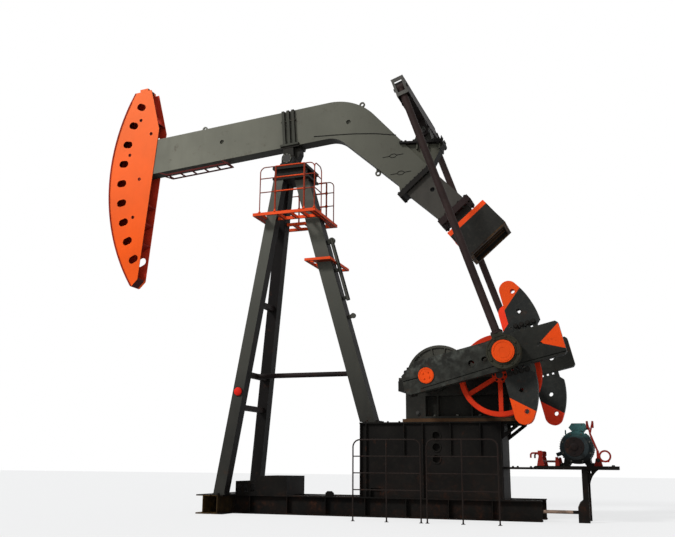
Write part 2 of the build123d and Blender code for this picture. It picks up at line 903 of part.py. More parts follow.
# Top platform: an open frame of edge bars, inner bars and crossbars on two bearers
deck_under = deck_level - deck_frame
deck_length = deck_right - deck_left
deck_center = (deck_left + deck_right) / 2
with BuildPart() as platform_deck:
    with BuildSketch(Plane.XY.offset(deck_under)):
        with Locations((deck_center, 0)):
            Rectangle(deck_length, 2 * deck_half_width)
            Rectangle(deck_length - 2 * deck_edge, 2 * (deck_half_width - deck_edge), mode=Mode.SUBTRACT)
        with Locations(*[(deck_center, s * deck_inner_bar) for s in (-1, 1)]):
            Rectangle(deck_length, deck_edge)
        band = deck_half_width - deck_inner_bar
        for place in deck_crossbars:
            with Locations(*[(place, s * (deck_inner_bar + band / 2)) for s in (-1, 1)]):
                Rectangle(deck_edge, band)
        bearer_level = deck_under + deck_frame / 2
        front_bearer = front_leg_center(bearer_level)[0] - leg_depth / 2 - bearer_width / 2 + 15
        rear_bearer = rear_leg_center(bearer_level) + rear_leg_depth / 2 + bearer_width / 2 - 15
        with Locations((front_bearer, 0), (rear_bearer, 0)):
            Rectangle(bearer_width, 2 * deck_half_width)
    extrude(amount=deck_frame)
    add(front_legs.part, mode=Mode.SUBTRACT)
    add(rear_leg.part, mode=Mode.SUBTRACT)
platform_deck.part.label = "platform_deck"
export_step(platform_deck.part, "parts/platform_deck.step")


# Guardrail: a hoop on each side, a short return and the middle rails with their posts
with BuildPart() as platform_guardrail:
    for sign, right in ((-1, rail_near_right), (1, rail_far_right)):
        rail_y = sign * (deck_half_width - rail_radius - 4)
        rail_plane = Plane(origin=(0, rail_y, deck_level), x_dir=(1, 0, 0), z_dir=(0, -1, 0))
        with BuildLine(rail_plane) as rail_path:
            FilletPolyline(
                (rail_left, 0),
                (rail_left, rail_levels[2]),
                (right, rail_levels[2]),
                (right, 0),
                radius=rail_corner,
            )
        with BuildSketch(Plane(origin=rail_path.line @ 0, z_dir=(0, 0, 1))):
            Circle(rail_thin_radius)
        sweep(path=rail_path.line)
        with BuildSketch(Plane.YZ.offset(rail_left)):
            for level in rail_levels[:2]:
                with Locations((rail_y, deck_level + level)):
                    Circle(rail_thin_radius)
        extrude(amount=right - rail_left)
        with BuildSketch(Plane.XY.offset(deck_level)):
            with Locations(*[(post, rail_y) for post in rail_posts]):
                Circle(rail_radius)
        extrude(amount=rail_levels[2])
        with BuildSketch(Plane.YZ.offset(rail_posts[0])):
            for level in rail_levels:
                with Locations((rail_y, deck_level + level)):
                    Circle(rail_radius)
        extrude(amount=rail_posts[1] - rail_posts[0])
    rail_y = rail_radius + 4 - deck_half_width
    return_plane = Plane(origin=(rail_near_right, 0, deck_level), x_dir=(0, 1, 0), z_dir=(1, 0, 0))
    with BuildLine(return_plane) as return_path:
        FilletPolyline(
            (rail_y, 0),
            (rail_y, rail_levels[2]),
            (rail_y + rail_return, rail_levels[2]),
            (rail_y + rail_return, 0),
            radius=rail_corner,
        )
    with BuildSketch(Plane(origin=return_path.line @ 0, z_dir=(0, 0, 1))):
        Circle(rail_thin_radius)
    sweep(path=return_path.line)
    with BuildSketch(Plane.XZ.offset(-rail_y - rail_return)):
        for level in rail_levels[:2]:
            with Locations((rail_near_right, deck_level + level)):
                Circle(rail_thin_radius)
    extrude(amount=rail_return)
platform_guardrail.part.label = "platform_guardrail"
export_step(platform_guardrail.part, "parts/platform_guardrail.step")

# Rest platform, an open frame around the rear leg that reaches further out on the far side
rest_length = rest_right - rest_left
rest_center = rest_left + rest_length / 2
rest_middle = (rest_far - rest_near) / 2
rest_leg = rear_leg_center(rest_level - rest_frame / 2)
with BuildPart() as rest_platform:
    with BuildSketch(Plane.XY.offset(rest_level - rest_frame)):
        with Locations((rest_center, rest_middle)):
            Rectangle(rest_length, rest_near + rest_far)
            Rectangle(rest_length - 2 * rest_edge, rest_near + rest_far - 2 * rest_edge, mode=Mode.SUBTRACT)
        with Locations((rest_leg, rest_edge / 2 - rest_near / 2)):
            Rectangle(rear_leg_depth + 60, rest_near + rest_edge)
        with Locations(*[(rest_center, s * (rear_leg_width / 2 + rest_edge / 2 - 10)) for s in (-1, 1)]):
            Rectangle(rest_length, rest_edge)
        with Locations((rear_leg_center(rest_level) + rear_leg_depth / 2 + rod_offset, 0)):
            Rectangle(2 * rod_radius + 80, 2 * rod_radius + 40, mode=Mode.SUBTRACT)
    extrude(amount=rest_frame)
    add(rear_leg.part, mode=Mode.SUBTRACT)
rest_platform.part.label = "rest_platform"
export_step(rest_platform.part, "parts/rest_platform.step")

# Rod held by lugs on the back of the rear leg
rod_turn = degrees(atan2(head_level - pedestal_top, rear_head_x - rear_foot_x))
rod_plane = side_plane(rear_foot_x + rear_leg_depth / 2, pedestal_top, rod_turn)
rod_across = Plane(origin=rod_plane.from_local_coords((rod_low, -rod_offset, 0)),
                   x_dir=(0, 1, 0), z_dir=rod_plane.x_dir)
with BuildPart() as rear_leg_rod:
    with BuildSketch(rod_across):
        Circle(rod_radius)
    extrude(amount=rod_high - rod_low)
    with BuildSketch(rod_plane):
        for along in (rod_low + 60, (rod_low + rod_high) / 2):
            with Locations((along, -rod_offset / 2 + 10)):
                Rectangle(60, rod_offset + 20)
        with Locations((rod_high - 45, -rod_offset / 2)):
            Rectangle(90, rod_offset)
        with Locations((rod_high - 45, -rod_offset)):
            Circle(rod_radius + 30)
        with Locations((rod_low - rod_bracket_back, -45)):
            Rectangle(70, 110)
        with Locations((rod_low - rod_bracket_back, -100)):
            Circle(rod_radius + 12)
    extrude(amount=22, both=True)
    add(rear_leg.part, mode=Mode.SUBTRACT)
rear_leg_rod.part.label = "rear_leg_rod"
export_step(rear_leg_rod.part, "parts/rear_leg_rod.step")

# Walking beam with its lifting eyes and the lug under its arm
arm_end = -joint_flange
eye_set = ((-2020, 1184, 100), (1576, 985, 120), (1801, -551, -120))
with BuildPart() as walking_beam:
    with BuildSketch(beam_plane) as beam_sketch:
        arm_turn = radians(-tail_drop)
        end_along = joint_along + arm_end * cos(arm_turn)
        end_up = joint_up + arm_end * sin(arm_turn)
        knee = (joint_along - knee_back * cos(arm_turn) + knee_depth * sin(arm_turn),
                joint_up - knee_back * sin(arm_turn) - knee_depth * cos(arm_turn))
        with BuildLine():
            Polyline(
                (beam_end, beam_bottom),
                (elbow_bottom, beam_bottom),
                knee,
                (end_along + joint_bottom * sin(arm_turn), end_up - joint_bottom * cos(arm_turn)),
                (end_along - joint_top * sin(arm_turn), end_up + joint_top * cos(arm_turn)),
                (elbow_top, beam_top),
                (beam_end, beam_top),
                close=True,
            )
        make_face()
        corner = beam_sketch.vertices().sort_by_distance((elbow_top, beam_top, 0))[0]
        fillet(corner, elbow_top_radius)
        corner = beam_sketch.vertices().sort_by_distance((elbow_bottom, beam_bottom, 0))[0]
        fillet(corner, elbow_bottom_radius)
    extrude(amount=beam_half_width, both=True)
    with BuildSketch(tail_plane):
        with Locations((arm_end / 2, (joint_top - joint_bottom) / 2 - 20)):
            Rectangle(joint_flange, joint_top + joint_bottom + 40 + joint_overhang)
    extrude(amount=joint_half_width, both=True)
    for sign in (-1, 1):
        face = slab_offset(sign, beam_half_width - web_hole_depth, beam_half_width)
        with BuildSketch(beam_plane.offset(face)):
            with Locations(web_hole_front, web_hole_rear):
                Circle(web_hole_diameter / 2)
        extrude(amount=web_hole_depth, mode=Mode.SUBTRACT)
    with BuildSketch(beam_plane):
        for along, up, root in eye_set:
            with Locations((along, up)):
                Circle(60)
            with Locations((along, up - root / 2)):
                Rectangle(60, abs(root))
    extrude(amount=12, both=True)
    with BuildSketch(beam_plane):
        with Locations(*[(along, up) for along, up, root in eye_set]):
            Circle(28)
    extrude(amount=20, both=True, mode=Mode.SUBTRACT)
walking_beam.part.label = "walking_beam"
export_step(walking_beam.part, "parts/walking_beam.step")

# Flat stiffeners on the beam over the saddle, tied by a collar and a narrow band
with BuildPart() as saddle_stiffeners:
    for sign in (-1, 1):
        start = slab_offset(sign, beam_half_width, beam_half_width + rib_depth)
        with BuildSketch(beam_plane.offset(start)):
            for number in range(rib_count):
                with Locations((rib_first + number * rib_pitch, (beam_bottom + beam_top) / 2)):
                    Rectangle(rib_width, beam_top - beam_bottom)
        extrude(amount=rib_depth)
        start = slab_offset(sign, beam_half_width, beam_half_width + rib_depth + 12)
        with BuildSketch(beam_plane.offset(start)):
            with Locations(((collar_left + collar_right) / 2, beam_bottom + collar_height / 2)):
                Rectangle(collar_right - collar_left, collar_height)
        extrude(amount=rib_depth + 12)
        start = slab_offset(sign, beam_half_width, beam_half_width + rib_depth - 15)
        with BuildSketch(beam_plane.offset(start)):
            with Locations((rib_first + (rib_count - 1) * rib_pitch / 2, band_level)):
                Rectangle(rib_count * rib_pitch, band_height)
        extrude(amount=rib_depth - 15)
saddle_stiffeners.part.label = "saddle_stiffeners"
export_step(saddle_stiffeners.part, "parts/saddle_stiffeners.step")

# Saddle bracket under the beam: seat plate, side cheeks, core and the hub of its shaft
with BuildPart() as saddle_bracket:
    with BuildSketch(beam_plane):
        with Locations(((collar_left + collar_right) / 2, beam_bottom - 20)):
            Rectangle(collar_right - collar_left, 40)
        Circle(saddle_bracket_radius)
    extrude(amount=saddle_bracket_half, both=True)
    with BuildSketch(beam_plane):
        with BuildLine():
            Polyline(
                (-saddle_bracket_radius - 15, beam_bottom - 30),
                (-saddle_bracket_radius, 0),
                (85, 0),
                (85, beam_bottom - 30),
                close=True,
            )
        make_face()
    extrude(amount=saddle_bracket_half - 10, both=True)
    with BuildSketch(beam_plane):
        with BuildLine():
            Polyline(
                (-saddle_bracket_radius + 10, 0),
                (saddle_bracket_radius - 10, 0),
                (collar_right - 10, beam_bottom / 2),
                (collar_right - 10, beam_bottom - 20),
                (-saddle_bracket_radius + 10, beam_bottom - 20),
                close=True,
            )
        make_face()
    extrude(amount=saddle_bracket_half - 3 * cheek_plate, both=True)
    with BuildSketch(beam_plane):
        Circle(saddle_shaft_radius + fit_gap)
    extrude(amount=saddle_bracket_half + 10, both=True, mode=Mode.SUBTRACT)
saddle_bracket.part.label = "saddle_bracket"
export_step(saddle_bracket.part, "parts/saddle_bracket.step")
saddle_shaft_half = pillow_inner + saddle_pillow_thickness + 10
with BuildPart() as saddle_shaft:
    with BuildSketch(pivot_plane):
        Circle(saddle_shaft_radius)
    extrude(amount=saddle_shaft_half, both=True)
saddle_shaft.part.label = "saddle_shaft"
export_step(saddle_shaft.part, "parts/saddle_shaft.step")

# Tail extension bolted to the arm
with BuildPart() as tail_extension:
    with BuildSketch(tail_plane):
        with BuildLine():
            Polyline(
                (joint_flange, -extension_bottom),
                (clamp_start, -extension_bottom_end),
                (clamp_start, extension_top_end),
                (joint_flange, extension_top - 20),
                close=True,
            )
        make_face()
        with Locations(extension_hole):
            Circle(extension_hole_diameter / 2, mode=Mode.SUBTRACT)
    extrude(amount=beam_half_width - 30, both=True)
    with BuildSketch(tail_plane):
        with Locations((joint_flange / 2, (joint_top - joint_bottom) / 2 - 20)):
            Rectangle(joint_flange, joint_top + joint_bottom + 40 + joint_overhang)
    extrude(amount=joint_half_width, both=True)
tail_extension.part.label = "tail_extension"
export_step(tail_extension.part, "parts/tail_extension.step")

# Clamp flange between the extension and the weight
with BuildPart() as tail_clamp:
    with BuildSketch(tail_plane):
        with Locations((clamp_start + clamp_thickness / 2, (clamp_top - clamp_bottom) / 2)):
            Rectangle(clamp_thickness, clamp_top + clamp_bottom)
    extrude(amount=clamp_half_width, both=True)
tail_clamp.part.label = "tail_clamp"
export_step(tail_clamp.part, "parts/tail_clamp.step")

# Tail weight with its neck and open end
block_end = block_start + block_length
block_middle = (block_top - block_bottom) / 2
with BuildPart() as tail_weight:
    with BuildSketch(tail_plane):
        with Locations((block_start + block_length / 2, block_middle)):
            Rectangle(block_length, block_top + block_bottom)
    extrude(amount=block_half_width, both=True)
    neck_start = clamp_start + clamp_thickness
    with BuildSketch(tail_plane):
        with Locations(((neck_start + block_start) / 2, (neck_top - neck_bottom) / 2)):
            Rectangle(block_start - neck_start, neck_top + neck_bottom)
    extrude(amount=neck_half_width, both=True)
    with BuildSketch(tail_plane):
        with Locations((block_end - block_pocket / 2, block_middle)):
            Rectangle(block_pocket, block_top + block_bottom - 2 * block_rim)
    extrude(amount=block_half_width - block_rim, both=True, mode=Mode.SUBTRACT)
tail_weight.part.label = "tail_weight"
export_step(tail_weight.part, "parts/tail_weight.step")


def on_arc(radius, up):
    """Point in front of the pivot on an arc of this radius, at a height above it."""
    return -((radius ** 2 - up ** 2) ** 0.5), up


def head_back(depth, up):
    """Point behind the foremost point of the horsehead."""
    return depth - head_arc_radius, up


def head_profile(radius):
    """Horsehead outline with its front on an arc about the saddle bearing."""
    with BuildSketch(mode=Mode.PRIVATE) as profile:
        with BuildLine():
            Polyline(
                on_arc(radius, head_bottom_up),
                head_back(head_base_depth, head_base_up),
                head_back(head_vertex_depth, head_vertex_up),
                head_back(head_top_depth, head_top_up),
                on_arc(radius, head_top_up),
            )
            ThreePointArc(on_arc(radius, head_top_up), (-radius, 0), on_arc(radius, head_bottom_up))
        make_face()
    return profile.sketch


# Horsehead side plates with the block across their top
plate_radius = head_arc_radius - track_thickness
with BuildPart() as head_sides:
    for side, sign in sides:
        plate_start = slab_offset(sign, head_half - head_plate_thickness, head_half)
        with BuildSketch(beam_plane.offset(plate_start)):
            add(head_profile(plate_radius))
            for number in range(slot_count):
                angle = slot_first_angle + number * slot_pitch
                with Locations(Rotation(0, 0, angle)):
                    with Locations((head_arc_radius - slot_inset, 0)):
                        SlotOverall(slot_length, slot_width, mode=Mode.SUBTRACT)
            with Locations(*[head_back(*hole) for hole in head_small_holes]):
                Circle(head_small_hole_diameter / 2, mode=Mode.SUBTRACT)
        extrude(amount=head_plate_thickness)
    with BuildSketch(beam_plane):
        with Locations(head_back(hanger_depth, head_top_up + hanger_height / 2)):
            Rectangle(200, hanger_height)
    extrude(amount=head_half, both=True)
    with BuildSketch(beam_plane):
        with BuildLine():
            Polyline(
                on_arc(plate_radius, head_bottom_up),
                head_back(head_base_depth, head_base_up),
                head_back(head_base_depth, head_base_up + 2 * head_plate_thickness),
                on_arc(plate_radius, head_bottom_up + 2 * head_plate_thickness),
                close=True,
            )
        make_face()
    extrude(amount=head_half, both=True)
head_sides.part.label = "head_sides"
export_step(head_sides.part, "parts/head_sides.step")

# Curved track plate of the horsehead with the ribs between its side plates
with BuildPart() as head_track:
    with BuildSketch(beam_plane):
        for number in head_rib_positions:
            angle = slot_first_angle + number * slot_pitch
            with Locations(Rotation(0, 0, angle)):
                with Locations((plate_radius / 2, 0)):
                    Rectangle(plate_radius + 20, head_rib_thickness)
        add(head_profile(plate_radius + 1), mode=Mode.INTERSECT)
    extrude(amount=head_half - head_plate_thickness, both=True)
    with BuildSketch(beam_plane):
        add(head_profile(head_arc_radius))
        Circle(plate_radius, mode=Mode.SUBTRACT)
    extrude(amount=head_half + 6, both=True)
    add(walking_beam.part, mode=Mode.SUBTRACT)
head_track.part.label = "head_track"
export_step(head_track.part, "parts/head_track.step")

# Ladder frame hung under the front of the beam
step_front = beam_end + step_start
step_rear = step_front + step_length
step_level = beam_bottom - step_drop
with BuildPart() as step_frame:
    for sign in (-1, 1):
        start = slab_offset(sign, beam_half_width - step_tube, beam_half_width)
        with BuildSketch(beam_plane.offset(start)):
            with BuildLine():
                Polyline(
                    (step_front, beam_bottom),
                    (step_front + step_slant, step_level),
                    (step_rear, step_level),
                    (step_rear - step_slant_rear, beam_bottom),
                    (step_rear - step_slant_rear - 1.7 * step_tube, beam_bottom),
                    (step_rear - 3 * step_tube, step_level + step_tube),
                    (step_front + step_slant + step_tube / 2, step_level + step_tube),
                    (step_front + 2 * step_tube, beam_bottom),
                    close=True,
                )
            make_face()
        extrude(amount=step_tube)
    with BuildSketch(beam_plane):
        first_rung = step_front + step_slant + step_tube
        rung_pitch = (step_rear - step_tube - first_rung) / (step_rungs - 1)
        with Locations(*[(first_rung + n * rung_pitch, step_level + step_tube / 2) for n in range(step_rungs)]):
            Rectangle(step_tube, step_tube)
    extrude(amount=beam_half_width, both=True)
step_frame.part.label = "step_frame"
export_step(step_frame.part, "parts/step_frame.step")

# Wedge bracket on the arm, its seat plate and the cheeks that stiffen it
seat_plane = side_plane(tail_x, tail_z, beam_tilt - seat_tilt)
seat_up = -tail_seat_drop
with BuildPart() as tail_bracket:
    with BuildSketch(seat_plane):
        with BuildLine():
            Polyline(
                (-seat_left_reach, seat_up),
                (seat_right_reach, seat_up),
                (seat_right_reach, seat_up - seat_plate),
                (seat_right_reach - 190, seat_up - wedge_depth),
                (seat_right_reach - 330, seat_up - wedge_depth),
                (-seat_left_reach, seat_up - wedge_depth),
                close=True,
            )
        make_face()
    extrude(amount=beam_half_width - 30, both=True)
    with BuildSketch(seat_plane):
        with Locations(((seat_right_reach - seat_left_reach) / 2, seat_up - seat_plate / 2)):
            Rectangle(seat_right_reach + seat_left_reach, seat_plate)
    extrude(amount=tail_housing_half + hanger_thickness + 10, both=True)
    for place in (-tail_housing_foot / 2, tail_housing_foot / 2, seat_right_reach - 60):
        with BuildSketch(seat_plane):
            with Locations((place, seat_up - seat_plate - 60)):
                Rectangle(cheek_plate, 120)
        extrude(amount=tail_housing_half + 30, both=True)
    add(walking_beam.part, mode=Mode.SUBTRACT)
tail_bracket.part.label = "tail_bracket"
export_step(tail_bracket.part, "parts/tail_bracket.step")

# Bearing housing of the equalizer on the wedge bracket
with BuildPart() as tail_housing:
    with BuildSketch(seat_plane):
        Circle(tail_housing_radius)
        with BuildLine():
            Polyline(
                (-tail_housing_radius, 0),
                (-tail_housing_foot + 40, seat_up + 50),
                (-tail_housing_foot, seat_up + 50),
                (-tail_housing_foot, seat_up),
                (tail_housing_foot, seat_up),
                (tail_housing_foot, seat_up + 50),
                (tail_housing_foot - 40, seat_up + 50),
                (tail_housing_radius, 0),
                close=True,
            )
        make_face()
        Circle(tail_shaft_radius + fit_gap, mode=Mode.SUBTRACT)
    extrude(amount=tail_housing_half, both=True)
tail_housing.part.label = "tail_housing"
export_step(tail_housing.part, "parts/tail_housing.step")

# Equalizer beam with its two hanger lugs and open yokes at the ends
hanger_inner = tail_housing_half + hanger_gap
tail_shaft_half = hanger_inner + hanger_thickness + 10
yoke_inner = equalizer_half_length - 20 - yoke_length
belly = equalizer_up - equalizer_depth / 2 - equalizer_belly
low = equalizer_up - equalizer_depth / 2
high = equalizer_up + equalizer_depth / 2
across_plane = Plane(origin=pitman_plane.origin, x_dir=(0, -1, 0), z_dir=pitman_plane.y_dir)
with BuildPart() as equalizer_beam:
    with BuildSketch(across_plane):
        with BuildLine():
            Polyline(
                (-equalizer_half_length, low),
                (-equalizer_half_length, high),
                (equalizer_half_length, high),
                (equalizer_half_length, low),
                (yoke_inner - 60, low),
                (hanger_inner, belly),
                (-hanger_inner, belly),
                (-yoke_inner + 60, low),
                close=True,
            )
        make_face()
    extrude(amount=equalizer_width / 2, both=True)
    with BuildSketch(across_plane):
        with Locations(*[(s * (yoke_inner + yoke_length / 2), equalizer_up) for s in (-1, 1)]):
            Rectangle(yoke_length, 2 * equalizer_depth)
    extrude(amount=equalizer_width / 2 - equalizer_plate, both=True, mode=Mode.SUBTRACT)
    for sign in (-1, 1):
        with BuildSketch(pitman_plane.offset(slab_offset(sign, yoke_inner + yoke_length, equalizer_half_length))):
            with Locations((equalizer_up, 0)):
                Rectangle(equalizer_depth - 140, equalizer_width - 90)
        extrude(amount=20, mode=Mode.SUBTRACT)
        start = slab_offset(sign, hanger_inner, hanger_inner + hanger_thickness)
        with BuildSketch(pitman_plane.offset(start)):
            Circle(hanger_radius)
            with Locations((low / 2, 0)):
                Rectangle(low, 2 * hanger_radius - 20)
        extrude(amount=hanger_thickness)
    with BuildSketch(pitman_plane):
        Circle(tail_shaft_radius + fit_gap)
    extrude(amount=tail_shaft_half + 10, both=True, mode=Mode.SUBTRACT)
    with BuildSketch(across_plane):
        with Locations(*[(s * pitman_spacing, equalizer_up) for s in (-1, 1)]):
            Circle(pitman_pin_radius + fit_gap)
    extrude(amount=equalizer_width, both=True, mode=Mode.SUBTRACT)
equalizer_beam.part.label = "equalizer_beam"
export_step(equalizer_beam.part, "parts/equalizer_beam.step")

# Shaft of the tail bearing and the pins that hold the pitmans in the yokes
with BuildPart() as equalizer_pins:
    with BuildSketch(pitman_plane):
        Circle(tail_shaft_radius)
    extrude(amount=tail_shaft_half, both=True)
    with BuildSketch(across_plane):
        with Locations(*[(s * pitman_spacing, equalizer_up) for s in (-1, 1)]):
            Circle(pitman_pin_radius)
    extrude(amount=equalizer_width / 2 + 25, both=True)
equalizer_pins.part.label = "equalizer_pins"
export_step(equalizer_pins.part, "parts/equalizer_pins.step")

# Pitmans with an eye at the top and a foot flange
housing_top = pin_housing_radius + 40
foot_plane = Plane(origin=pitman_plane.from_local_coords((housing_top - pitman_length, 0, 0)),
                   x_dir=(0, 1, 0), z_dir=pitman_plane.x_dir)
pitman_places = [(s * pitman_spacing, 0) for s in (-1, 1)]
pitman_eyes = [(s * pitman_spacing, equalizer_up) for s in (-1, 1)]
with BuildPart() as pitmans:
    with BuildSketch(foot_plane):
        with Locations(*pitman_places):
            Circle(pitman_radius)
    extrude(amount=pitman_length - housing_top + equalizer_up)
    with BuildSketch(foot_plane):
        with Locations(*pitman_places):
            Circle(pitman_radius + 35)
    extrude(amount=35)
    with BuildSketch(across_plane):
        with Locations(*pitman_eyes):
            Circle(pitman_radius + 7)
    extrude(amount=equalizer_width / 2 - equalizer_plate - yoke_gap, both=True)
    with BuildSketch(across_plane):
        with Locations(*pitman_eyes):
            Circle(pitman_pin_radius + fit_gap)
    extrude(amount=equalizer_width, both=True, mode=Mode.SUBTRACT)
pitmans.part.label = "pitmans"
export_step(pitmans.part, "parts/pitmans.step")

# Crank-pin housings at the foot of the pitmans
housing_inner = pitman_spacing - pin_housing_width / 2
housing_outer = pitman_spacing + pin_housing_width / 2
with BuildPart() as pin_housings:
    for side, sign in sides:
        with BuildSketch(pitman_plane.offset(slab_offset(sign, housing_inner, housing_outer))):
            with Locations((-pitman_length, 0)):
                Circle(pin_housing_radius)
            with Locations((-pitman_length + housing_top / 2, 0)):
                Rectangle(housing_top, 2 * pitman_radius + 60)
            with Locations((-pitman_length, 0)):
                Circle(crank_pin_radius + fit_gap, mode=Mode.SUBTRACT)
        extrude(amount=pin_housing_width)
pin_housings.part.label = "pin_housings"
export_step(pin_housings.part, "parts/pin_housings.step")

# Crank pins with their caps
pin_start = crank_outer + run_gap + 1
with BuildPart() as crank_pins:
    for side, sign in sides:
        with BuildSketch(pitman_plane.offset(slab_offset(sign, pin_start, housing_outer))):
            with Locations((-pitman_length, 0)):
                Circle(crank_pin_radius)
        extrude(amount=housing_outer - pin_start)
        with BuildSketch(pitman_plane.offset(slab_offset(sign, housing_outer, housing_outer + pin_cap_reach))):
            with Locations((-pitman_length, 0)):
                Circle(pin_cap_radius)
        extrude(amount=pin_cap_reach)
crank_pins.part.label = "crank_pins"
export_step(crank_pins.part, "parts/crank_pins.step")

# Frame between the front feet: stepped side plates with windows, end plates and ties
foot_top = skid_height + foot_frame_height
foot_low_top = skid_height + foot_frame_low
window_pitch = (foot_frame_step - foot_frame_left) / foot_windows
with BuildPart() as foot_frame:
    for sign in (-1, 1):
        face = slab_offset(sign, foot_frame_half - foot_frame_wall, foot_frame_half)
        with BuildSketch(side_plane(0, 0).offset(face)):
            with BuildLine():
                Polyline(
                    (foot_frame_left, skid_height),
                    (foot_frame_right, skid_height),
                    (foot_frame_right, foot_top),
                    (foot_frame_step + 60, foot_top),
                    (foot_frame_step, foot_low_top),
                    (foot_frame_left, foot_low_top),
                    close=True,
                )
            make_face()
            for number in range(foot_windows):
                place = foot_frame_left + (number + 0.5) * window_pitch
                with Locations((place, skid_height + foot_frame_low / 2)):
                    Rectangle(window_pitch - 50, foot_frame_low - 100, mode=Mode.SUBTRACT)
        extrude(amount=foot_frame_wall)
    for left, height in ((foot_frame_left, foot_frame_low), (foot_frame_right - foot_frame_wall, foot_frame_height)):
        with BuildSketch(Plane.XY.offset(skid_height)):
            with Locations((left + foot_frame_wall / 2, 0)):
                Rectangle(foot_frame_wall, 2 * foot_frame_half)
        extrude(amount=height)
    with BuildSketch(Plane.XY.offset(foot_top - 40)):
        with Locations((foot_frame_step + 80, 0), (foot_frame_step / 2 + 20, 0)):
            Rectangle(60, 2 * foot_frame_half)
    extrude(amount=40)
foot_frame.part.label = "foot_frame"
export_step(foot_frame.part, "parts/foot_frame.step")

# Motor frame: stepped rails from the pedestal, cross bars, gusseted posts, feet and a tie bar
rail_left = pedestal_right
rail_under = rail_top - rail_height
base_plane = side_plane(0, 0)
with BuildPart() as motor_frame:
    for side, sign in sides:
        inner = rail_half_spacing - rail_width / 2
        with BuildSketch(base_plane.offset(slab_offset(sign, inner, inner + rail_width))):
            with BuildLine():
                Polyline(
                    (rail_left, rail_under),
                    (rail_right, rail_under),
                    (rail_right, rail_top),
                    (screw_x - 90, rail_top),
                    (screw_x - 90, rail_top - rail_step),
                    (rail_left, rail_top - rail_step),
                    close=True,
                )
            make_face()
            with Locations((post_x, rail_under / 2)):
                Rectangle(post_width, rail_under)
        extrude(amount=rail_width)
        with BuildSketch(base_plane.offset(slab_offset(sign, inner - rail_flange, inner + rail_width + rail_flange))):
            with BuildLine():
                post_face = post_x + post_width / 2
                Polyline(
                    (post_x - post_foot_length + post_width / 2 + 12, 0),
                    (post_face, 0),
                    (post_face, post_foot_height),
                    (post_x - post_width / 2, post_foot_height),
                    (post_x - post_foot_length + post_width / 2 + 50, post_foot_height - 40),
                    (post_x - post_foot_length + post_width / 2 + 12, post_foot_height - 120),
                    close=True,
                )
            make_face()
        extrude(amount=rail_width + 2 * rail_flange)
        with BuildSketch(base_plane.offset(slab_offset(sign, rail_half_spacing - 12, rail_half_spacing + 12))):
            with BuildLine():
                Line((post_face - 1, rail_under), (post_face - 1, rail_under - gusset_drop))
                ThreePointArc(
                    (post_face - 1, rail_under - gusset_drop),
                    (post_face + 0.3 * gusset_reach, rail_under - 0.45 * gusset_drop),
                    (post_face + gusset_reach, rail_under),
                )
                Line((post_face + gusset_reach, rail_under), (post_face - 1, rail_under))
            make_face()
            with Locations((post_face + 38, rail_under - 40)):
                Circle(24, mode=Mode.SUBTRACT)
        extrude(amount=24)
    for place in (screw_x, post_x - 320, post_x, rail_right - 60):
        with BuildSketch(Plane.XZ.offset(-rail_half_spacing)):
            with Locations((place, rail_top - rail_height / 2)):
                Rectangle(90, rail_height)
        extrude(amount=2 * rail_half_spacing)
    with BuildSketch(Plane.YZ.offset(skid_right)):
        with Locations((-rail_half_spacing, tie_bar_height)):
            Circle(tie_bar_radius)
    extrude(amount=post_x - skid_right)
motor_frame.part.label = "motor_frame"
export_step(motor_frame.part, "parts/motor_frame.step")

# Motor with end bells, feet, a six-sided terminal box and a lug on its side
motor_plane = side_plane(motor_x, motor_height)
motor_foot_drop = motor_height - rail_top
body_start = motor_front - motor_length
with BuildPart() as motor:
    with BuildSketch(motor_plane.offset(body_start + end_bell_length)):
        Circle(motor_radius)
    extrude(amount=motor_length - 2 * end_bell_length)
    with BuildSketch(motor_plane.offset(body_start)):
        Circle(end_bell_radius)
    extrude(amount=motor_length)
    with BuildSketch(motor_plane.offset(body_start + 1.5 * end_bell_length)):
        with BuildLine():
            Polyline(
                (-1.05 * motor_radius, -motor_foot_drop),
                (1.05 * motor_radius, -motor_foot_drop),
                (1.05 * motor_radius, 30 - motor_foot_drop),
                (0.82 * motor_radius, 40 - motor_foot_drop),
                (0.7 * motor_radius, -0.3 * motor_radius),
                (-0.7 * motor_radius, -0.3 * motor_radius),
                (-0.82 * motor_radius, 40 - motor_foot_drop),
                (-1.05 * motor_radius, 30 - motor_foot_drop),
                close=True,
            )
        make_face()
        with BuildLine():
            Polyline(
                (-0.55 * motor_radius, -motor_foot_drop),
                (0.55 * motor_radius, -motor_foot_drop),
                (0.4 * motor_radius, 55 - motor_foot_drop),
                (-0.4 * motor_radius, 55 - motor_foot_drop),
                close=True,
            )
        make_face(mode=Mode.SUBTRACT)
        Circle(motor_radius - 2)
    extrude(amount=motor_length - 3 * end_bell_length)
    box_low = motor_radius - 10
    box_middle = box_low + terminal_height / 2
    with BuildSketch(motor_plane.offset(body_start + (motor_length - terminal_width) / 2)):
        with BuildLine():
            Polyline(
                (terminal_offset - 0.3 * terminal_length, box_low - 60),
                (terminal_offset + 0.3 * terminal_length, box_low - 60),
                (terminal_offset + 0.3 * terminal_length, box_low),
                (terminal_offset + 0.5 * terminal_length, box_middle),
                (terminal_offset + 0.4 * terminal_length, box_low + terminal_height),
                (terminal_offset - 0.32 * terminal_length, box_low + terminal_height),
                (terminal_offset - 0.5 * terminal_length, box_middle),
                (terminal_offset - 0.3 * terminal_length, box_low),
                close=True,
            )
        make_face()
    extrude(amount=terminal_width)
    with BuildSketch(motor_plane.offset(motor_front - 230)):
        with Locations(Rotation(0, 0, lug_turn - 17)):
            with Locations((motor_radius + 30, 0)):
                Rectangle(110, 62)
    extrude(amount=90)
    with BuildSketch(motor_plane.offset(motor_front - motor_bore_depth)):
        Circle(motor_shaft_radius + fit_gap)
    extrude(amount=motor_bore_depth, mode=Mode.SUBTRACT)
motor.part.label = "motor"
